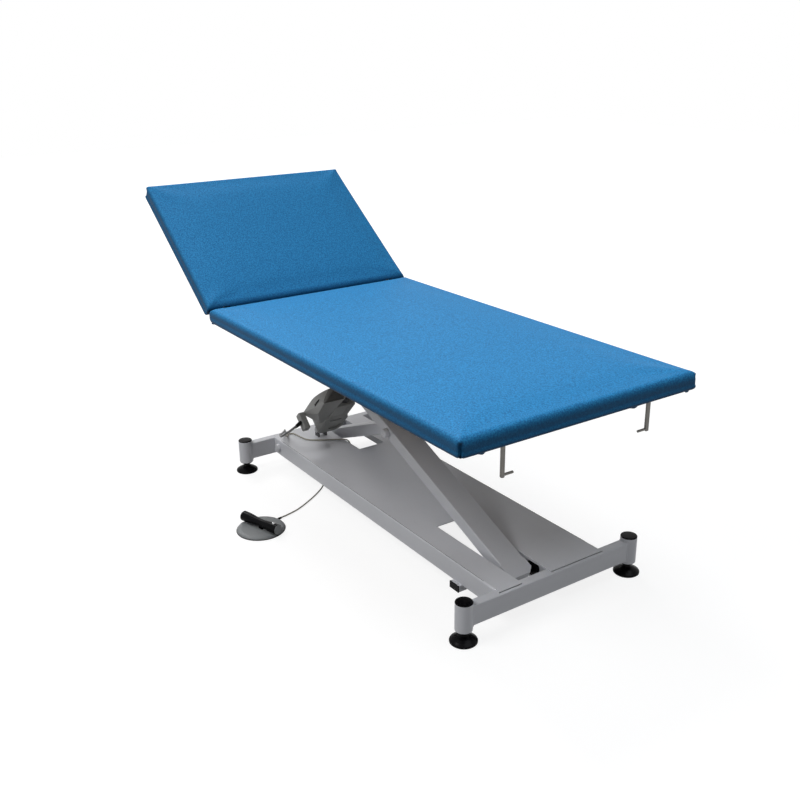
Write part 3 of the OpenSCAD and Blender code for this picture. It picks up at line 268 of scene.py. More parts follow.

# %% [markdown]
# ## Vinyl
# The cover is a coated fabric with a pressed grain: small cells, each a little lighter or darker.
# Smooth Voronoi cells give the grain its height, and a noise of the same size gives the speckle.
# The sides and the faces that turn down are painted darker than the top, as painted shade for faces turned
# away from the light above.

# %% Blue vinyl
def vinyl():
    f = Finish(bpy.data.materials.new("blue_vinyl"))
    grain = f.node("ShaderNodeTexVoronoi", {"feature": "SMOOTH_F1"}, {
        "Vector": f.place(), "Scale": 430, "Smoothness": 0.6})
    speckle = f.noise(240, 3, 0.75)
    cloud = f.noise(3.2, 3)
    deep = (0.0055, 0.125, 0.325)
    pale = (0.032, 0.325, 0.690)
    plain = (0.015, 0.220, 0.500)
    # Painted shade: the darkest tone, for faces that turn down.
    painted_side_shade = (0.003, 0.034, 0.085)
    mottled = f.mix(((speckle - 0.40) * 5.0).clamped(), deep, pale)
    top = f.mix(cloud * 0.3 + 0.10, mottled, plain)
    # Painted shade mask: full tone on the top, less on the sides and none underneath.
    painted_facing_light = (f.facing_up() * 0.74 + 0.26).clamped() ** 1.2
    return f.surface(
        Base_Color=f.mix(painted_facing_light, painted_side_shade, top),
        Roughness=speckle * 0.14 + 0.52,
        Specular_IOR_Level=0.16,
        Normal=f.bump(grain * 0.8 + speckle * 0.5, 0.00035, 0.55))


blue_vinyl = vinyl()
print("vinyl made")

# %% [markdown]
# ## Plywood
# The boards under the cushions are bare plywood.
# A noise stretched along one direction makes the wood's figure, and a sine of it makes the rings.

# %% Plywood
def plywood_finish():
    f = Finish(bpy.data.materials.new("plywood"))
    pale_ring, dark_ring, pale_fibre = (0.58, 0.42, 0.26), (0.44, 0.29, 0.16), (0.66, 0.52, 0.35)
    along_grain = f.node("ShaderNodeMapping", {}, {"Vector": f.place(), "Scale": (1.0, 9.0, 9.0)})
    figure = f.noise(9, 5, 0.6, along_grain)
    fibre = f.noise(240, 2, 0.5, along_grain)
    rings = (figure * 34).sine() * 0.5 + 0.5
    wood = f.mix(rings * 0.6, pale_ring, dark_ring)
    return f.surface(
        Base_Color=f.mix(fibre * 0.5, wood, pale_fibre),
        Roughness=fibre * 0.2 + 0.62,
        Normal=f.bump(fibre, 0.0002, 0.6))


plywood = plywood_finish()
print("plywood made")

# %% [markdown]
# ## Dressing the CAD pieces
# The rigid pieces keep their CAD shape, which is right, and only get a finish.
# The record already says which material slot each node has, so one dictionary does it.

# %% Finish every carried-over piece
FINISHES = dict(
    frame_paint=frame_paint, dark_paint=dark_paint, black_plastic=black_plastic, black_rubber=black_rubber,
    cap_plastic=cap_plastic, drive_shell=drive_shell, switch_grey=switch_grey, cord_beige=cord_beige,
    cord_grey=cord_grey, bright_steel=bright_steel, dull_steel=dull_steel, blue_vinyl=blue_vinyl,
    plywood=plywood)
slot_of = {s["node"]: s["material_slot"] for s in frame["record"]["subparts"]}
body_of = {node: body for body, nodes in frame["record"]["behaviour"]["bodies"].items() for node in nodes}
for node, slot in slot_of.items():
    piece = bpy.data.objects[node]
    piece.data.materials.clear()
    piece.data.materials.append(FINISHES[slot])
print("finished", len(slot_of), "nodes")


# %% [markdown]
# ## A small kit for new pieces
# Most small parts are rings of points joined into a skin: a screw, a weld bead, a cord or a soft block.
# One class collects such skins in millimetres and turns them into one mesh.
# In a turned profile, a ring with a third item is a hexagon instead of a circle, as in a socket.
# Sharp edges are found by angle, so flat faces stay flat and round ones look round.

# %% Skins through rings of points
def side_of(way):
    return way.cross(Vector((0, 0, 1)) if abs(way.z) < 0.9 else Vector((1, 0, 0))).normalized()


# Share of a block's soft inset that comes off the corner's radius; the rest moves its middle inwards
OFF_RADIUS = 0.6


class Skin:
    def __init__(self):
        self.points = []
        self.faces = []

    def loft(self, rings, closed=False):
        start, count = len(self.points), len(rings[0])
        self.points += [Vector(p) for ring in rings for p in ring]
        for k in range(len(rings) if closed else len(rings) - 1):
            low, high = start + k * count, start + (k + 1) % len(rings) * count
            for j in range(count):
                i = (j + 1) % count
                self.faces.append((low + j, low + i, high + i, high + j))
        if not closed:
            self.faces.append(tuple(start + j for j in reversed(range(count))))
            self.faces.append(tuple(start + (len(rings) - 1) * count + j for j in range(count)))
        return self

    def turned(self, profile, at=(0, 0, 0), way=(0, 0, 1), sides=24):
        at, way = Vector(at), Vector(way).normalized()
        u = side_of(way)
        v = way.cross(u)
        rings = []
        for radius, height, *hexed in profile:
            ring = []
            for j in range(sides):
                a = 2 * math.pi * j / sides
                r = radius / math.cos((a + math.pi / 6) % (math.pi / 3) - math.pi / 6) if hexed else radius
                ring.append(at + way * height + r * (math.cos(a) * u + math.sin(a) * v))
            rings.append(ring)
        return self.loft(rings)

    def swept(self, path, radius, sides=8, closed=False, ripple=0.0):
        path = [Vector(p) for p in path]
        count = len(path)
        rings, side = [], None
        for i, point in enumerate(path):
            after = path[(i + 1) % count] if closed else path[min(i + 1, count - 1)]
            before = path[(i - 1) % count] if closed else path[max(i - 1, 0)]
            way = (after - before).normalized()
            side = side_of(way) if side is None else (side - side.dot(way) * way).normalized()
            other = way.cross(side)
            r = radius + ripple * (1 if i % 2 else -1)
            rings.append([point + r * (math.cos(2 * math.pi * j / sides) * side
                                       + math.sin(2 * math.pi * j / sides) * other) for j in range(sides)])
        return self.loft(rings, closed)

    def block(self, size, at=(0, 0, 0), corner=2.0, soft=0.5, turn=Matrix()):
        w, l, t = size
        steps = [(soft, 0), (0, soft), (0, t - soft), (soft, t)]
        rings = []
        for inset, height in steps:
            ring = []
            for cx, cy, start in ((1, 1, 0), (-1, 1, 90), (-1, -1, 180), (1, -1, 270)):
                for step in range(5):
                    a = math.radians(start + 22.5 * step)
                    r = corner - inset * OFF_RADIUS
                    middle = corner + inset * (1 - OFF_RADIUS)
                    ring.append(Vector(at) + turn @ Vector((
                        cx * (w / 2 - middle) + r * math.cos(a), cy * (l / 2 - middle) + r * math.sin(a),
                        height)))
            rings.append(ring)
        return self.loft(rings)

    def mesh(self, name, sharp=35):
        mesh = bpy.data.meshes.new(name)
        mesh.from_pydata([tuple(p * MM) for p in self.points], [], self.faces)
        mesh.update()
        mesh.shade_smooth()
        mesh.set_sharp_from_angle(angle=math.radians(sharp))
        return mesh

    def moved(self, matrix):
        self.points = [matrix @ (p * MM) / MM for p in self.points]
        return self

    def piece(self, name, finish, body, sharp=35):
        piece = add(name, self.mesh(name, sharp))
        piece.data.materials.append(FINISHES[finish])
        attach(piece, body)
        return piece


print("kit ready")

# %% [markdown]
# ## Cords
# A cord is a tube of fixed length that lies where gravity puts it.
# The foot switch's cord loops out of the drive, crosses the tray, drops through the cut-out
# and runs on along the floor.
# The mains lead goes over the tray's head end and is wound up out of sight under the tray.
# Both follow the same points as their CAD solids, joined by a smooth curve.
# Their upper ends are moulded into the drive.

# %% Places that the cords start and end at
DRIVE_PIN = Vector((-545, -42, 134))
DRIVE_SLOPE = math.radians(45.4713)
SWITCH = Vector((-208, -460, 0))
CORD_OUT = Vector((0.267057, -0.927184, -0.262699))
THIN_ALONG, MAINS_ALONG = 112, 126
RELIEF_SIDE, RELIEF_OUT, RELIEF_GAP = -151.107, -13.740, 0.4
THIN_D, MAINS_D = 5, 7
GLAND_TURN, GLAND_REACH, GLAND_Z = math.radians(107), 90.1, 5


def on_drive(along, side, out):
    return DRIVE_PIN + Vector((
        along * math.cos(DRIVE_SLOPE) - out * math.sin(DRIVE_SLOPE), side,
        along * math.sin(DRIVE_SLOPE) + out * math.cos(DRIVE_SLOPE)))


thin_start = on_drive(THIN_ALONG, RELIEF_SIDE, RELIEF_OUT) + RELIEF_GAP * CORD_OUT
mains_start = on_drive(MAINS_ALONG, RELIEF_SIDE, RELIEF_OUT) + RELIEF_GAP * CORD_OUT
gland_way = Vector((math.cos(GLAND_TURN), math.sin(GLAND_TURN), 0))
gland_end = SWITCH + gland_way * GLAND_REACH + Vector((0, 0, GLAND_Z))
print("cords start at", [round(v) for v in thin_start], [round(v) for v in mains_start])


# %% Smooth route through chosen points
SPLINE_STEPS = 8


def spline(points, steps):
    made = []
    for i in range(len(points) - 1):
        a, b, c, d = (points[min(max(i + k, 0), len(points) - 1)] for k in (-1, 0, 1, 2))
        for j in range(steps):
            t = j / steps
            made.append(0.5 * (2 * b + (c - a) * t + (2 * a - 5 * b + 4 * c - d) * t * t
                               + (3 * b - a - 3 * c + d) * t * t * t))
    return made + [points[-1]]


def length_of(points):
    return sum((b - a).length for a, b in zip(points, points[1:]))


def lay_cord(name, points, thick, finish, nodes, follow_until, **rest):
    lead = add(name, Skin().swept(points, thick / 2, 12).mesh(name, 50))
    lead.data.materials.append(FINISHES[finish])
    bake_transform(lead)
    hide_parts(*nodes)
    tuple(points[0] * MM)
    length_of(points) * MM
    [tuple(p * MM) for p in points]
    print(name, round(length_of(points)), "mm")


# %% Foot switch cord
thin_route = [thin_start, thin_start + 8 * CORD_OUT] + [Vector(p) for p in [
    (-453.9, -208.1, 199.1), (-456.6, -214.2, 195), (-461.8, -217.8, 190.5), (-468.6, -218.2, 186.6),
    (-480, -215, 181), (-495, -209, 173), (-512, -202, 163), (-534, -191, 149), (-558, -178, 135),
    (-581, -163, 123), (-600, -152, 116), (-611, -147, 114.2), (-616, -136, 113.6), (-611, -125, 113.5),
    (-600, -120, 113.5), (-582, -118, 113.5), (-558, -115, 113.5), (-530, -107, 113.5), (-506, -82, 113.5),
    (-486, -48, 113.5), (-470, -20, 113.5), (-457, -4, 114.2), (-445, 7, 113.8), (-436.5, 13, 106),
    (-432, 16, 90), (-428, 17, 66), (-422, 17, 40), (-411, 19, 17), (-392, 26, 4.5), (-360, 40, 3),
    (-300, 58, 3), (-236, 52, 3), (-200, 22, 3), (-196, -18, 3), (-226, -48, 3), (-280, -60, 3),
    (-350, -54, 3), (-420, -48, 3), (-456, -60, 3), (-468, -84, 3), (-448, -108, 3), (-404, -122, 3),
    (-368, -140, 3), (-330, -182, 3), (-292, -238, 3), (-258, -300, 3)]] + [
    gland_end + gland_way * 24 - Vector((0, 0, 1.5)), gland_end + gland_way * 12 - Vector((0, 0, 0.4)),
    gland_end]
lay_cord(
    "foot_switch_lead", spline(thin_route, SPLINE_STEPS), THIN_D, "cord_beige", ["foot_switch_cord"],
    follow_until=200, far_end="object", stiffness="limp", lay="loose")

# %% [markdown]
# The spare length of the mains lead is wound into a flat coil of two layers.
# The cord winds inwards in the lower layer, climbs within half a turn, and winds outwards on top.
# While it climbs it steps a little to the inside, clear of the turn beside it.

# %% Coil of the mains lead
COIL = Vector((20, 70, 3.7))
COIL_R, COIL_TURNS, COIL_PITCH, COIL_LAYER, COIL_STEPS, SIDE_STEP = 52, 3, 7.9, 7.8, 24, 2.4
coil_end = 2 * COIL_TURNS + 0.5
coil_points = []
for i in range(int(COIL_STEPS * coil_end) + 1):
    u = i / COIL_STEPS
    climb = min(max(2 * (u - COIL_TURNS), 0), 1)
    radius = COIL_R - COIL_PITCH * min(u, COIL_TURNS, coil_end - u) - SIDE_STEP * math.sin(math.pi * climb)
    angle = math.pi - 2 * math.pi * u
    coil_points.append(
        COIL + Vector((radius * math.cos(angle), radius * math.sin(angle), COIL_LAYER * climb)))
print("coil of", len(coil_points), "points")

# %% [markdown]
# Two soft ties keep the coil together, as they do on a new lead.
# Each tie is a flat loop around all the turns, so it is swept along a rounded rectangle.

# %% Ties around the coil
TIE_IN, TIE_OUT, TIE_LOW, TIE_HIGH = COIL_R - COIL_TURNS * COIL_PITCH - 8.0, COIL_R + 6.0, -3.0, 13.5
TIE_ROUND, TIE_FLAT, TIE_THICK = 3, 0.9, 2.0
coil_ties = []
for name, angle in (("coil_tie_near", -60), ("coil_tie_far", 75)):
    way = Vector((math.cos(math.radians(angle)), math.sin(math.radians(angle)), 0))
    loop = []
    for cx, cz, sx, sz, start in (
            (TIE_OUT, TIE_HIGH, 1, 1, 0), (TIE_IN, TIE_HIGH, -1, 1, 90),
            (TIE_IN, TIE_LOW, -1, -1, 180), (TIE_OUT, TIE_LOW, 1, -1, 270)):
        for step in range(5):
            a = math.radians(start + 22.5 * step)
            loop.append(COIL + way * (cx - TIE_ROUND * sx + TIE_ROUND * math.cos(a))
                        + Vector((0, 0, cz + TIE_ROUND * TIE_FLAT * (math.sin(a) - sz))))
    tie = Skin().swept(loop, TIE_THICK / 2, 6, closed=True)
    coil_ties.append(tie.piece(name, "black_plastic", "base"))
print("ties", len(coil_ties))

# %% Mains lead
COIL_TAIL = 7
mains_route = [mains_start, mains_start + 9 * CORD_OUT] + [Vector(p) for p in [
    (-443, -215.4, 206.3), (-446.9, -227.3, 198.5), (-455.4, -235.4, 189.6), (-467, -238.4, 181.1),
    (-479.9, -235.8, 174.4), (-494, -231, 169), (-510, -224.5, 163), (-530, -215, 157), (-556, -203, 148),
    (-584, -184, 135), (-614, -162, 126), (-636, -146, 120), (-652, -136, 115.8), (-665, -129, 108),
    (-674, -124, 94), (-679, -119, 70), (-679, -113, 46), (-674, -104, 26), (-660, -90, 11),
    (-636, -70, 4.5), (-600, -40, 4), (-530, 30, 4), (-440, 92, 4), (-300, 116, 4), (-200, 84, 4),
    (-130, 34, 4), (-94, 9, 4), (-70, 1, 4), (-48, 7, 4), (-35.5, 24, 3.8)]] + [
    COIL + Vector((-COIL_R, -26, 0)), COIL + Vector((-COIL_R, -COIL_TAIL, 0))]
tail_end = COIL + Vector((COIL_R, -COIL_TAIL, COIL_LAYER))
mains_points = spline(mains_route, SPLINE_STEPS) + coil_points + [tail_end]
lay_cord(
    "mains_cable", mains_points, MAINS_D, "cord_grey", ["mains_lead", "mains_coil"],
    follow_until=210, far_end="plug", stiffness="medium", lay="coiled",
    with_pieces=[bpy.data.objects["mains_plug"]] + coil_ties)

# %% [markdown]
# ## Cushions
# Each section is a plywood board under foam, with vinyl pulled over it and stapled below.
# The top edges are soft and the sides stand nearly straight, because the foam is cut square
# and thick vinyl spans it.
# The form is a stack of rings: each level of the side is drawn in by its own amount, and the faces
# above and below follow the last ring.
# A short cloth simulation with a little pressure then fills the top and the sides.

# %% Sizes of the top
SEAM_X, HINGE_Z, PAD_T, HALF_W = -641.0, 606.13, 50.0, 400.0
MAIN_LEN, HEAD_LEN, SEAM_INSET = 1390.0, 610.0, 6.12
HEAD_ANGLE = math.radians(35.4)
NOSE_R, EDGE_H, RISE, GROW = 25.0, 48.0, 3.0, 2.5
BOARD_INSET, BOARD_T = 16.0, 12.3
POCKET_TO, POCKET_Y, POCKET_H = 68.0, (317.5, 345.5), 37.0
HEM_PULL, HEM_H = 3, 7
SIDE_PULL, CORNER_R, CROWN_RUN = 2.5, 3.5, 190
main_long, head_long = MAIN_LEN - SEAM_INSET, HEAD_LEN - SEAM_INSET


def free_inset(z, soft):
    low = HEM_PULL * max(0, 1 - z / HEM_H) ** 2
    up = max(0, z - (EDGE_H - soft))
    return low + soft - math.sqrt(max(0, soft ** 2 - up ** 2)) - GROW


def nose_inset(z):
    return NOSE_R - math.sqrt(max(0, NOSE_R ** 2 - (z * PAD_T / EDGE_H - NOSE_R) ** 2))


levels = [0, 1.5, 4, 8, 13, 18, 23, 28, 33, 37.5, 41, 44, 46.2, 47.6, 48]
print("levels", len(levels))


# %% [markdown]
# The faces above and below are a grid.
# Its lines are close together where the surface bends: at the seam, at the board's edge and along the rim.

# %% Grid of a cushion
FINE, COARSE, RIM, CLOSEST, BOARD_STEP = 7, 16, 30, 0.9, 0.6


def spread(low, high, step):
    count = max(1, round((high - low) / step))
    return [low + (high - low) * i / count for i in range(count + 1)]


def merge(*runs):
    ends = runs[0]
    lines = sorted(set(round(v, 3) for run in runs for v in run))
    return [v for i, v in enumerate(lines) if i == 0 or v - lines[i - 1] > CLOSEST or v in ends]


def cushion_grid(length):
    nose_end, board_end, w = BOARD_INSET + NOSE_R, length - BOARD_INSET, HALF_W
    xs = merge(
        [0, length], spread(4, nose_end - 2, FINE), [nose_end - 1, nose_end + 0.2],
        spread(nose_end + 12, length - RIM, COARSE),
        [board_end - BOARD_STEP, board_end + BOARD_STEP, length - 9, length - 4])
    ys = merge(
        [-w, w], spread(-w + RIM, w - RIM, COARSE),
        [s * (w - v) for s in (-1, 1) for v in (4, 9, BOARD_INSET - BOARD_STEP, BOARD_INSET + BOARD_STEP)])
    return xs, ys


# %% Cushion form
def ease(v):
    return math.sin(min(max(v, 0), 1) * math.pi / 2)


def place_on_ring(u, v, z, length, foot_inset, seam_inset, side_inset):
    low, high = seam_inset, length - foot_inset
    mid, half = (low + high) / 2, (high - low) / 2
    wide = HALF_W - side_inset
    x, y = mid + half * u, wide * v
    ax, ay = abs(u) * half - (half - CORNER_R), abs(v) * wide - (wide - CORNER_R)
    if ax > 0 and ay > 0:
        squeeze = max(ax, ay) / math.sqrt(ax ** 2 + ay ** 2)
        x = mid + math.copysign(half - CORNER_R + ax * squeeze, u)
        y = math.copysign(wide - CORNER_R + ay * squeeze, v)
    return Vector((x, y, z))


def cushion_mesh(name, length, end_soft, side_soft, swell):
    xs, ys = cushion_grid(length)
    us, vs = [2 * x / length - 1 for x in xs], [y / HALF_W for y in ys]
    nx, ny, nz = len(xs) - 1, len(ys) - 1, len(levels)
    shape = bmesh.new()
    made = {}

    def corner(i, j, k):
        if (i, j, k) not in made:
            z = levels[min(k, nz - 1)]
            end, side, nose = free_inset(z, end_soft), free_inset(z, side_soft), nose_inset(z)
            pull = SIDE_PULL * (1 - (2 * z / EDGE_H - 1) ** 2)
            p = place_on_ring(us[i], vs[j], z, length, end + pull * (1 - vs[j] ** 4), nose,
                              side + pull * (1 - us[i] ** 6))
            if 0 < i < nx and 0 < j < ny:
                if k == 0:
                    board = (BOARD_INSET + NOSE_R < p.x < length - BOARD_INSET
                             and abs(p.y) < HALF_W - BOARD_INSET)
                    p.z = BOARD_T if board else 0.0
                else:
                    across = (HALF_W - side_soft - abs(p.y)) / CROWN_RUN
                    along = min(p.x - NOSE_R, length - end_soft - p.x) / CROWN_RUN
                    p.z = EDGE_H + RISE * ease(across) * ease(along)
            p.z *= 1 + (swell - 1) * max(0, p.x / length) ** 2
            made[(i, j, k)] = shape.verts.new(p * MM)
        return made[(i, j, k)]

    for i in range(nx):
        for j in range(ny):
            for k, around in ((0, 1), (nz - 1, -1)):
                ring = [(i, j), (i, j + 1), (i + 1, j + 1), (i + 1, j)][::around]
                shape.faces.new([corner(a, b, k) for a, b in ring])
    for k in range(nz - 1):
        for i in range(nx):
            for j in (0, ny):
                ring = (i, j, k), (i + 1, j, k), (i + 1, j, k + 1), (i, j, k + 1)
                shape.faces.new([corner(*c) for c in ring])
        for j in range(ny):
            for i in (0, nx):
                ring = (i, j, k), (i, j, k + 1), (i, j + 1, k + 1), (i, j + 1, k)
                shape.faces.new([corner(*c) for c in ring])
    bmesh.ops.recalc_face_normals(shape, faces=shape.faces)
    mesh = bpy.data.meshes.new(name)
    shape.to_mesh(mesh)
    shape.free()
    mesh.shade_smooth()
    return mesh


print("cushion form ready")


# %% [markdown]
# ## Blowing the cushions up
# A cloth simulation with pressure is the quickest honest way to tight upholstery.
# Every point may only move a few millimetres, so the cushion keeps the size that it has in the CAD model.
# Of a sideways move only half is kept, because the board holds the cover's lower edge.
# The lowest points are held, because the cover is stapled there.

# %% Inflate a cushion
MOST_MOVE, PRESSURE, FRAMES, KEPT_SIDEWAYS = 3.0, 3.0, 18, 0.5


def inflate(piece):
    start = [v.co.copy() for v in piece.data.vertices]
    held = piece.vertex_groups.new(name="held")
    held.add([v.index for v in piece.data.vertices if v.co.z < (BOARD_T + 1) * MM], 1, "REPLACE")
    cloth = piece.modifiers.new("cloth", "CLOTH")
    cloth.settings.quality = 5
    cloth.settings.mass = 0.4
    cloth.settings.tension_stiffness = 25
    cloth.settings.compression_stiffness = 25
    cloth.settings.shear_stiffness = 12
    cloth.settings.bending_stiffness = 2.0
    cloth.settings.use_pressure = True
    cloth.settings.uniform_pressure_force = PRESSURE
    cloth.settings.effector_weights.gravity = 0
    cloth.settings.vertex_group_mass = "held"
    cloth.collision_settings.use_collision = False
    scene = bpy.context.scene
    for step in range(1, FRAMES + 1):
        scene.frame_set(step)
    blown = piece.evaluated_get(bpy.context.evaluated_depsgraph_get()).to_mesh()
    ends = [v.co.copy() for v in blown.vertices]
    piece.modifiers.remove(cloth)
    piece.vertex_groups.clear()
    scene.frame_set(1)
    moves = []
    for vertex, old, new in zip(piece.data.vertices, start, ends):
        move = new - old
        kept = move * min(1.0, MOST_MOVE * MM / max(move.length, 1e-9))
        kept -= Vector((kept.x, kept.y, 0)) * (1 - KEPT_SIDEWAYS)
        vertex.co = old + kept
        moves.append(kept.length / MM)
    average, most = sum(moves) / len(moves), max(moves)
    print("cloth moved points by", round(average, 2), "mm on average,", round(most, 2), "at most")


# %% [markdown]
# At each free corner the vinyl is folded and pulled down, which leaves one dark upright slit.
# The slit comes after the simulation: the points nearest to the corner's middle line are pushed inwards.

# %% Corner folds
FOLD_DEPTH, FOLD_WIDTH, FOLD_REACH, FOLD_BELOW = 14.0, 4.2, 26, 8


def fold_corners(piece, length):
    for vertex in piece.data.vertices:
        x, y, z = vertex.co / MM
        for side in (-1, 1):
            out = Vector((1, side)).normalized()
            dx, dy = x - length, y - side * HALF_W
            across = abs(dy * out.x - dx * out.y)
            if math.hypot(dx, dy) < FOLD_REACH and z < EDGE_H - FOLD_BELOW:
                rise = min(1, (EDGE_H - FOLD_BELOW - z) / FOLD_BELOW)
                push = FOLD_DEPTH * rise * math.exp(-(across / FOLD_WIDTH) ** 2)
                vertex.co -= Vector((*out, 0)) * push * MM


# %% [markdown]
# The hinge plates reach up into the cushions at the seam, so the foam is cut out around them.
# A Boolean with one soft block for each plate makes these pockets in the finished cushion.

# %% Pockets for the hinge plates
POCKET_BELOW, POCKET_ROUND, POCKET_SOFT = 20, 3, 1.5


def cut_pockets(piece):
    cutters = Skin()
    for side in (-1, 1):
        middle = side * (POCKET_Y[0] + POCKET_Y[1]) / 2
        cutters.block((2 * POCKET_TO, POCKET_Y[1] - POCKET_Y[0], POCKET_H + POCKET_BELOW),
                      (0, middle, -POCKET_BELOW), POCKET_ROUND, POCKET_SOFT)
    cutter = add("pocket_cutters", cutters.mesh("pocket_cutters"))
    cutter.data.materials.append(blue_vinyl)
    cut = piece.modifiers.new("pockets", "BOOLEAN")
    cut.operation = "DIFFERENCE"
    cut.solver = "EXACT"
    cut.object = cutter
    made = bpy.data.meshes.new_from_object(piece.evaluated_get(bpy.context.evaluated_depsgraph_get()))
    piece.modifiers.remove(cut)
    bpy.data.objects.remove(cutter)
    made.shade_smooth()
    made.set_sharp_from_angle(angle=math.radians(62))
    piece.data = made
    print("pockets cut", len(made.vertices), "points")


# %% Both cushions
def make_cushion(name, length, node, body, matrix, end_soft, side_soft, swell):
    piece = add(name, cushion_mesh(name, length, end_soft, side_soft, swell))
    piece.data.materials.append(blue_vinyl)
    inflate(piece)
    fold_corners(piece, length)
    cut_pockets(piece)
    piece.data.transform(matrix)
    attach(piece, body)
    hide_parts(node)


seam = Matrix.Translation((SEAM_X * MM, 0, HINGE_Z * MM))
main_place = seam @ Matrix.Translation((SEAM_INSET * MM, 0, -NOSE_R * MM))
head_place = (seam @ Matrix.Rotation(HEAD_ANGLE, 4, "Y")
              @ Matrix.Translation((-SEAM_INSET * MM, 0, -NOSE_R * MM)) @ Matrix.Rotation(math.pi, 4, "Z"))
make_cushion("main_cushion", main_long, "main_pad", "top", main_place,
             end_soft=22, side_soft=20, swell=1.04)
make_cushion("head_cushion", head_long, "backrest_pad", "backrest", head_place,
             end_soft=10, side_soft=16, swell=1.08)

# %% [markdown]
# ## Small parts
# Screws, welds and mouldings are too small to matter for the mechanism, so they are made here.
# Each one is set on the CAD surface that carries it: a ray is sent to the surface, and the part sits
# where it hits.

# %% Find the surface that carries a part
def seat(nodes, start, way):
    met = []
    for node in nodes.split():
        hit, point, normal, _ = bpy.data.objects[node].ray_cast(Vector(start) * MM, Vector(way).normalized())
        if hit:
            met.append(((point / MM - Vector(start)).length, point / MM, normal))
    if not met:
        raise ValueError("no surface of " + nodes + " at " + str(start))
    return min(met, key=lambda m: m[0])[1:]


def screw_head(skin, at, way, size):
    head = [(size * 0.94, -0.4), (size, 0.3), (size * 0.97, size * 0.42), (size * 0.72, size * 0.62)]
    socket = [(size * 0.46, size * 0.62, 1), (size * 0.44, size * 0.18, 1)]
    return skin.turned(head + socket, at, way)


print("seats are found by ray")

# %% [markdown]
# ## Welds
# A welded joint shows a small rippled fillet around the smaller tube.
# It is swept around the joint line with a radius that swells and shrinks a little from ring to ring.

# %% Welds between cross tubes and posts
POST_X, POST_Y, POST_R, END_W, END_Z = 644.5, 300.0, 24.15, 15.0, (47.0, 107.0)
WELD_OUT, WELD_STEP, STEPS_ACROSS, STEPS_DOWN = 0.4, 2.2, 14, 27
tube_outline = [(-END_W + WELD_STEP * i, END_Z[1]) for i in range(STEPS_ACROSS)]
tube_outline += [(END_W, END_Z[1] - WELD_STEP * i) for i in range(1, STEPS_DOWN)]
tube_outline += [(END_W - WELD_STEP * i, END_Z[0]) for i in range(STEPS_ACROSS)]
tube_outline += [(-END_W, END_Z[0] + WELD_STEP * i) for i in range(1, STEPS_DOWN)]


def on_post(sx, sy, across, z):
    reach = POST_Y - math.sqrt(POST_R ** 2 - across ** 2) - WELD_OUT
    return Vector((sx * POST_X + across, sy * reach, z))


welds = Skin()
for sx in (-1, 1):
    for sy in (-1, 1):
        welds.swept([on_post(sx, sy, *p) for p in tube_outline], 1.7, 6, closed=True, ripple=0.25)
welds.piece("post_welds", "frame_paint", "base", 80)
print("posts welded")

# %% Welds under the top
CROSS_X, RAIL_INSIDE, CROSS_HALF, CROSS_Z = (-485, -260, 40, 340, 628), 299.5, 12.5, 543
top_welds = Skin()
for x in CROSS_X:
    for y in (-RAIL_INSIDE, RAIL_INSIDE):
        for side in (-CROSS_HALF, CROSS_HALF):
            line = [(x + side, y, CROSS_Z + WELD_STEP * i) for i in range(17)]
            top_welds.swept(line, 1.5, 6, ripple=0.22)
top_welds.piece("top_frame_welds", "frame_paint", "top", 80)
print("top frame welded")

# %% [markdown]
# ## Bolts and screws
# The hinge plates are bolted to the two frames, and the boards are screwed on from below.
# Both are round heads with a hexagon socket, turned from one profile.

# %% Bolts of the head section's hinge
hinge = Matrix.Translation((SEAM_X, 0, HINGE_Z)) @ Matrix.Rotation(HEAD_ANGLE, 4, "Y")
TOP_BOLTS, TOP_BOLT_Z, HEAD_BOLTS, HEAD_BOLT_Z, BOLT_R = (-607, -573), 562, (-34, -68), -44, 6.5
hinge_bolts, head_bolts = Skin(), Skin()
for side in (-1, 1):
    for x in TOP_BOLTS:
        at = seat("hinge_plates", (x, side * 380, TOP_BOLT_Z), (0, -side, 0))[0]
        screw_head(hinge_bolts, at, (0, side, 0), BOLT_R)
    for x in HEAD_BOLTS:
        start = hinge @ Vector((x, side * 390, HEAD_BOLT_Z))
        at = seat("backrest_hinge_plates", start, (0, -side, 0))[0]
        screw_head(head_bolts, at, (0, side, 0), BOLT_R)
hinge_bolts.piece("hinge_bolts", "bright_steel", "top")
head_bolts.piece("head_hinge_bolts", "bright_steel", "backrest")
print("hinge bolts set")

# %% Screws into the boards
MAIN_SCREWS, RAIL_MID, SCREW_R = (-440, -150, 190, 500), 312, 5
HEAD_SCREWS, HEAD_RAIL_MID = (-120, -320, -500), 319
board_screws, head_screws = Skin(), Skin()
down = hinge.to_3x3() @ Vector((0, 0, -1))
for side in (-1, 1):
    for x in MAIN_SCREWS:
        at = seat("frame_rails", (x, side * RAIL_MID, 400), (0, 0, 1))[0]
        screw_head(board_screws, at, (0, 0, -1), SCREW_R)
    for x in HEAD_SCREWS:
        start = hinge @ Vector((x, side * HEAD_RAIL_MID, -200))
        at = seat("backrest_frame", start, -down)[0]
        screw_head(head_screws, at, down, SCREW_R)
board_screws.piece("board_screws", "bright_steel", "top")
head_screws.piece("head_board_screws", "bright_steel", "backrest")
print("boards screwed on")

# %% [markdown]
# ## Hem of the covers
# Under each cushion the vinyl is turned over the board's edge and stapled.
# The hem is a thin flat strip whose inner edge wanders a little, because it was cut by hand.
# Lumps at the corners are the gathered folds, and they peep out below the foot edge.

# %% Hem and staples
HEM_IN, HEM_W, HEM_LOW, HEM_HIGH, HEM_STEP = 6, 22, -1.0, 0.1, 14
STAPLE_L, STAPLE_W, STAPLE_T, STAPLE_Z = 10, 1.4, 0.5, -1.5
STAPLE_IN, STAPLE_END, STAPLE_WANDER = 13, 18, 0.3


def staple(skin, size, at, lean):
    skin.block((*size, STAPLE_T), (*at, STAPLE_Z), 0.6, 0.15, Matrix.Rotation(0.4 * math.sin(lean), 3, "Z"))


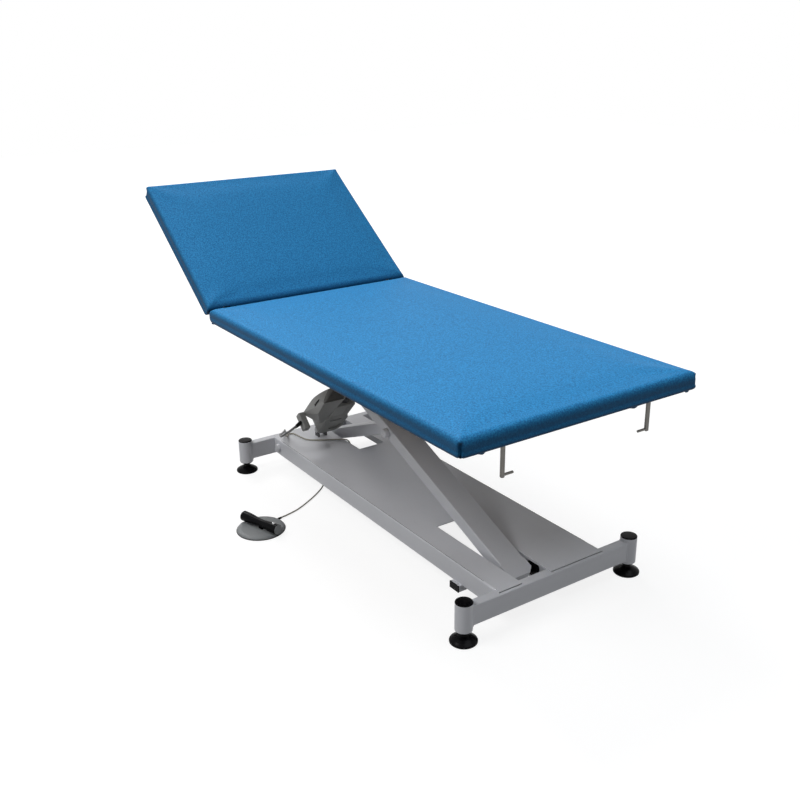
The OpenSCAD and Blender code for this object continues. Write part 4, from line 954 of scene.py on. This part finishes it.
def hem(name, length, body, matrix, gaps):
    skin, staples = Skin(), Skin()
    wall = HALF_W - HEM_IN

    def strip(points_out, points_in):
        skin.loft([[(*a, HEM_LOW), (*b, HEM_LOW), (*b, HEM_HIGH), (*a, HEM_HIGH)]
                   for a, b in zip(points_out, points_in)])

    def wander(v):
        return 4 * noise.noise(Vector((v * 0.02, 3.1, 0))) + 1.5 * noise.noise(Vector((v * 0.11, 7.7, 0)))

    for side in (-1, 1):
        xs = spread(POCKET_TO + 8, length - 8, HEM_STEP)
        strip([(x, side * wall) for x in xs],
              [(x, side * (wall - HEM_W + wander(x + 500 * side))) for x in xs])
        for k, x in enumerate(xs[1:-1:2]):
            inwards = STAPLE_IN - wander(x) * STAPLE_WANDER
            staple(staples, (STAPLE_W, STAPLE_L), (x, side * (wall - inwards)), k * 2.4)
    for low, high in zip([-wall] + [g[1] for g in gaps], [g[0] for g in gaps] + [wall]):
        ys = spread(low, high, HEM_STEP)
        strip([(length - HEM_IN, y) for y in ys],
              [(length - HEM_IN - HEM_W + wander(y), y) for y in ys])
        for k, y in enumerate(ys[1:-1:2]):
            inwards = STAPLE_END - wander(y) * STAPLE_WANDER
            staple(staples, (STAPLE_L, STAPLE_W), (length - inwards, y), k * 1.9)
    skin.moved(matrix).piece(name + "_hem", "blue_vinyl", body, 50)
    staples.moved(matrix).piece(name + "_staples", "bright_steel", body, 50)
    print(name, "hem", len(skin.faces), "faces")


ROLL_ARM_GAPS = [(-268, -228), (228, 268)]
hem("main", main_long, "top", main_place, ROLL_ARM_GAPS)
hem("head", head_long, "backrest", head_place, [])

# %% Gathered folds under the corners
# A fold's row says its x and y, its length, width and depth, and its turn in degrees
FOLD_RINGS, FOLD_SIDES, CREASE = 7, 12, 0.16


def gathered(name, body, matrix, spots):
    skin = Skin()
    for x, y, long, wide, deep, turn in spots:
        way = Vector((math.cos(math.radians(turn)), math.sin(math.radians(turn)), 0))
        across = Vector((-way.y, way.x, 0))
        rings = []
        for k in range(FOLD_RINGS):
            size = math.sin(math.pi * (k + 0.35) / 6.7) ** 0.6
            middle = Vector((x, y, 0)) + way * (long * (k / (FOLD_RINGS - 1) - 0.5))
            ring = []
            for j in range(FOLD_SIDES):
                b = 2 * math.pi * j / FOLD_SIDES
                crease = 1 + CREASE * math.cos(3 * b + k)
                ring.append(middle + across * (wide / 2 * size * crease * math.cos(b))
                            + Vector((0, 0, deep / 2 * (size * crease * math.sin(b) - 1) + 0.6)))
            rings.append(ring)
        skin.loft(rings)
    skin.moved(matrix).piece(name, "blue_vinyl", body, 60)
    print(name, "folds", len(spots))


gathered("main_corner_folds", "top", main_place, [
    (main_long - 16, -386, 26, 12, 4, 35), (main_long - 13, 374, 24, 12, 10, -60),
    (main_long - 12, -328, 12, 22, 10, 0), (main_long - 16, 174, 14, 34, 12, 0),
    (14, -388, 22, 12, 8, 80), (14, 388, 22, 12, 8, -80)])
gathered("head_corner_folds", "backrest", head_place, [
    (HEAD_LEN - 20, -388, 30, 10, 5, 35), (HEAD_LEN - 20, 388, 30, 10, 5, -35)])

# %% [markdown]
# ## Caps of the pins
# Where the arms cross, a painted round cap closes the pin's near end, and two more close the lower axle.
# Each is turned from a profile with a soft edge, and it moves with the body that carries it.

# %% Middle boss cap
boss = Skin()
at = seat("middle_pin", (-13.2, -400, 315.1), (0, 1, 0))[0]
boss.turned([(14.6, -12.0), (14.6, -0.4), (13.6, 1.2), (11.0, 1.8), (4.0, 1.8), (3.0, 0.8), (1.0, 0.6)],
            at, (0, -1, 0), 36)
boss.piece("middle_boss_cap", "frame_paint", body_of["middle_pin"])
print("boss cap at", [round(v, 1) for v in at])

# %% Caps of the lower axle
axle_caps = Skin()
for side in (-1, 1):
    axle_caps.turned([(13.4, -8.5), (14.2, -7.6), (14.2, -1.5), (12.6, 1.0), (8.0, 2.6), (2.0, 3.2)],
                     (-595, side * 199, 80), (0, side, 0), 32)
axle_caps.piece("lower_axle_caps", "frame_paint", "base")
print("axle caps made")

# %% [markdown]
# ## Tray
# The tray's ends rest on the cross tubes, and its long edges are folded.
# The shade under the plate's cut edge and along the folds is too fine for light alone to show at this
# distance, so thin dark strips are painted in as that shade.
# The slot for the arms leaves the painted shade strip at the foot end in two stretches.

# %% Painted shade under the tray's foot end and along its folds
# Painted shade: a thin dark strip under the plate's cut edge at the foot end.
end_shade_strips = Skin()
for low, high in ((-189, -110), (-5, 189)):
    end_shade_strips.block((0.8, high - low, 1.0), (650.0, (low + high) / 2, 107.2), 0.3, 0.1)
end_shade_strips.piece("tray_end_painted_shade", "dark_paint", "base")
FOLD_END, FOLD_STEP, FOLD_Y = 583, 53, 186.4
# Painted shade: a thin black line along each fold of the tray.
fold_shade_lines = Skin()
for side in (-1, 1):
    xs = range(-FOLD_END, FOLD_END + 1, FOLD_STEP)
    fold_shade_lines.swept([seat("tray", (x, side * FOLD_Y, 140), (0, 0, -1))[0] for x in xs], 0.5)
fold_shade_lines.piece("tray_fold_painted_shade", "black_plastic", "base")
print("tray ends and folds marked")

# %% [markdown]
# ## Drive housing
# The drive is a moulded shell of two halves, with screws and a bead where the halves meet; on its near side a
# black strip of painted shade stands for a slot.
# Its label face stays bare, apart from two short raised lines.
# All these parts share the drive's own slanted frame, so their places are simple numbers.

# %% Drive's own frame
DRIVE = Matrix.Translation(DRIVE_PIN) @ Matrix.Rotation(-DRIVE_SLOPE, 4, "Y")


def on_cover(node, s, side, way):
    start = DRIVE @ (Vector((s, side, 0) if way[2] else (s, 0, side)) - 300 * Vector(way))
    return seat(node, start, DRIVE.to_3x3() @ Vector(way))


def raised_line(skin, node, places, thick, way=(0, 0, -1)):
    path = [on_cover(node, s, side, way)[0] for s, side in places]
    return skin.swept(path, thick, 8)


SHELL = "drive_motor_cover drive_housing"
lines = Skin()
raised_line(lines, SHELL, [(179 + 4.6 * i, -49) for i in range(11)], 1.6)
raised_line(lines, SHELL, [(177 + 5.5 * i, -21 - 0.3 * i) for i in range(11)], 1.6)
lines.piece("drive_label_lines", "black_plastic", "drive", 70)
print("label face lines set")

# %% Painted shade for the slot in the drive's near side
# Painted shade: two overlapping black lines stand for the dark inside of a slot.
slot_shade = Skin()
for offset in (-2.2, 2.2):
    raised_line(slot_shade, SHELL, [(238 + 4 * i, offset) for i in range(10)], 2.4, (0, 1, 0))
slot_shade.piece("drive_side_slot_shade", "black_plastic", "drive", 70)
print("side slot set")

# %% Screws of the drive housing
shell_screws = Skin()
for s, side in ((64, -36), (64, 24), (150, 24), (236, 24)):
    at, way = on_cover("drive_housing", s, side, (0, 0, -1))
    screw_head(shell_screws, at - way * 1.0, way, 4.0)
shell_screws.piece("drive_screws", "bright_steel", "drive")
print("drive screws set")

# %% Parting bead around the drive's rear
BEAD_FROM, BEAD_TO, BEAD_STEPS = -45, 33, 32
forwards = DRIVE.to_3x3() @ Vector((1, 0, 0))
bead = []
for i in range(BEAD_STEPS + 1):
    side = BEAD_FROM + (BEAD_TO - BEAD_FROM) * i / BEAD_STEPS
    bead.append(seat("drive_housing", DRIVE @ Vector((-200, side, 0)), forwards)[0])
Skin().swept(bead, 1.2, 8).piece("drive_parting_bead", "drive_shell", "drive", 80)
print("bead of", len(bead), "points")

# %% [markdown]
# ## Foot switch
# A black ring around the switch's disc is painted shade: it stands for the dark shadow line along the disc's
# edge.
# The rocker bar has a small nub on top.

# %% Painted shade ring of the switch and the rocker's nub
SHADE_RIM_R, SHADE_RIM_Z, SHADE_RIM_STEPS = 77.2, 2.6, 96
turns = [2 * math.pi * i / SHADE_RIM_STEPS for i in range(SHADE_RIM_STEPS)]
# Painted shade: a black ring along the disc's edge.
shade_rim = Skin().swept([SWITCH + Vector((SHADE_RIM_R * math.cos(a), SHADE_RIM_R * math.sin(a), SHADE_RIM_Z)) for a in turns],
                   1.3, 8, closed=True)
shade_rim.piece("switch_painted_shade_rim", "black_rubber", "base")
nub = Skin()
at = seat("foot_pedal", (-151.6, -441.6, 120), (0, 0, -1))[0]
nub.turned([(5.2, -1.2), (5.2, 0.8), (4.4, 2.2), (2.4, 3.0), (0.6, 3.2)], at, (0, 0, 1), 24)
nub.piece("rocker_nub", "bright_steel", "pedal")
print("switch trimmed, nub at", [round(v, 1) for v in at])

# %% [markdown]
# ## Floor, background and light
# The table stands on a plain white floor that keeps its shadow.
# The floor is grey to the lamps and glows to the camera, so the lamps needn't be strong to make it white.
# Far from the table it glows a little more, so that it meets the white background without an edge.
# Lamps at the head end and at the near side light the top, and leave the foot end in soft shade.
# A weak low lamp keeps the posts at the foot end from going dark.

# %% Floor
FLOOR_SIZE, FLOOR_Z = 24, -0.0004
near_glow, far_glow, floor_grey = (0.84, 0.84, 0.84), (1.0, 1.0, 1.0), (0.22, 0.22, 0.22)
f = Finish(bpy.data.materials.new("floor"))
reach = f.node("ShaderNodeVectorMath", {"operation": "LENGTH"}, {0: f.place()}, "Value")
glow = f.mix((reach * 0.7 - 1.0).clamped(), near_glow, far_glow)
f.surface(Base_Color=floor_grey, Roughness=0.9, Emission_Color=f.mix(f.seen(), (0, 0, 0), glow),
          Emission_Strength=1.0)
bpy.ops.mesh.primitive_plane_add(size=FLOOR_SIZE, location=(0, 0, FLOOR_Z))
floor = bpy.context.active_object
floor.name = "floor"
floor.data.materials.append(f.holder)
print("floor ready")

# %% World
SKY_LIGHT = 0.08
sky = Finish(bpy.data.worlds.new("world"))
bpy.context.scene.world = sky.surface(Color=(1, 1, 1), Strength=sky.seen() * (1 - SKY_LIGHT) + SKY_LIGHT)
print("world ready")


# %% Lamps
def lamp(name, place, target, size, power, colour=(1, 1, 1)):
    made = add(name, bpy.data.lights.new(name, "AREA"))
    made.data.size = size
    made.data.energy = power
    made.data.color = colour
    made.location = place
    made.rotation_euler = (Vector(target) - Vector(place)).to_track_quat("-Z", "Y").to_euler()


lamp("from_head_end", (-8.0, 0.8, 9.5), (0, 0, 0.4), 5.0, 620)
lamp("from_near_side", (-0.4, -2.8, 3.2), (0, 0, 0.1), 1.8, 72)
lamp("overhead", (1.2, 0.6, 3.8), (0, 0, 0.5), 2.5, 44, (0.88, 0.94, 1.0))
lamp("low_at_foot_end", (3.2, -1.2, 0.5), (0.6, 0, 0.05), 1.2, 7)
bpy.context.scene.view_settings.view_transform = "Standard"
print("stage ready")
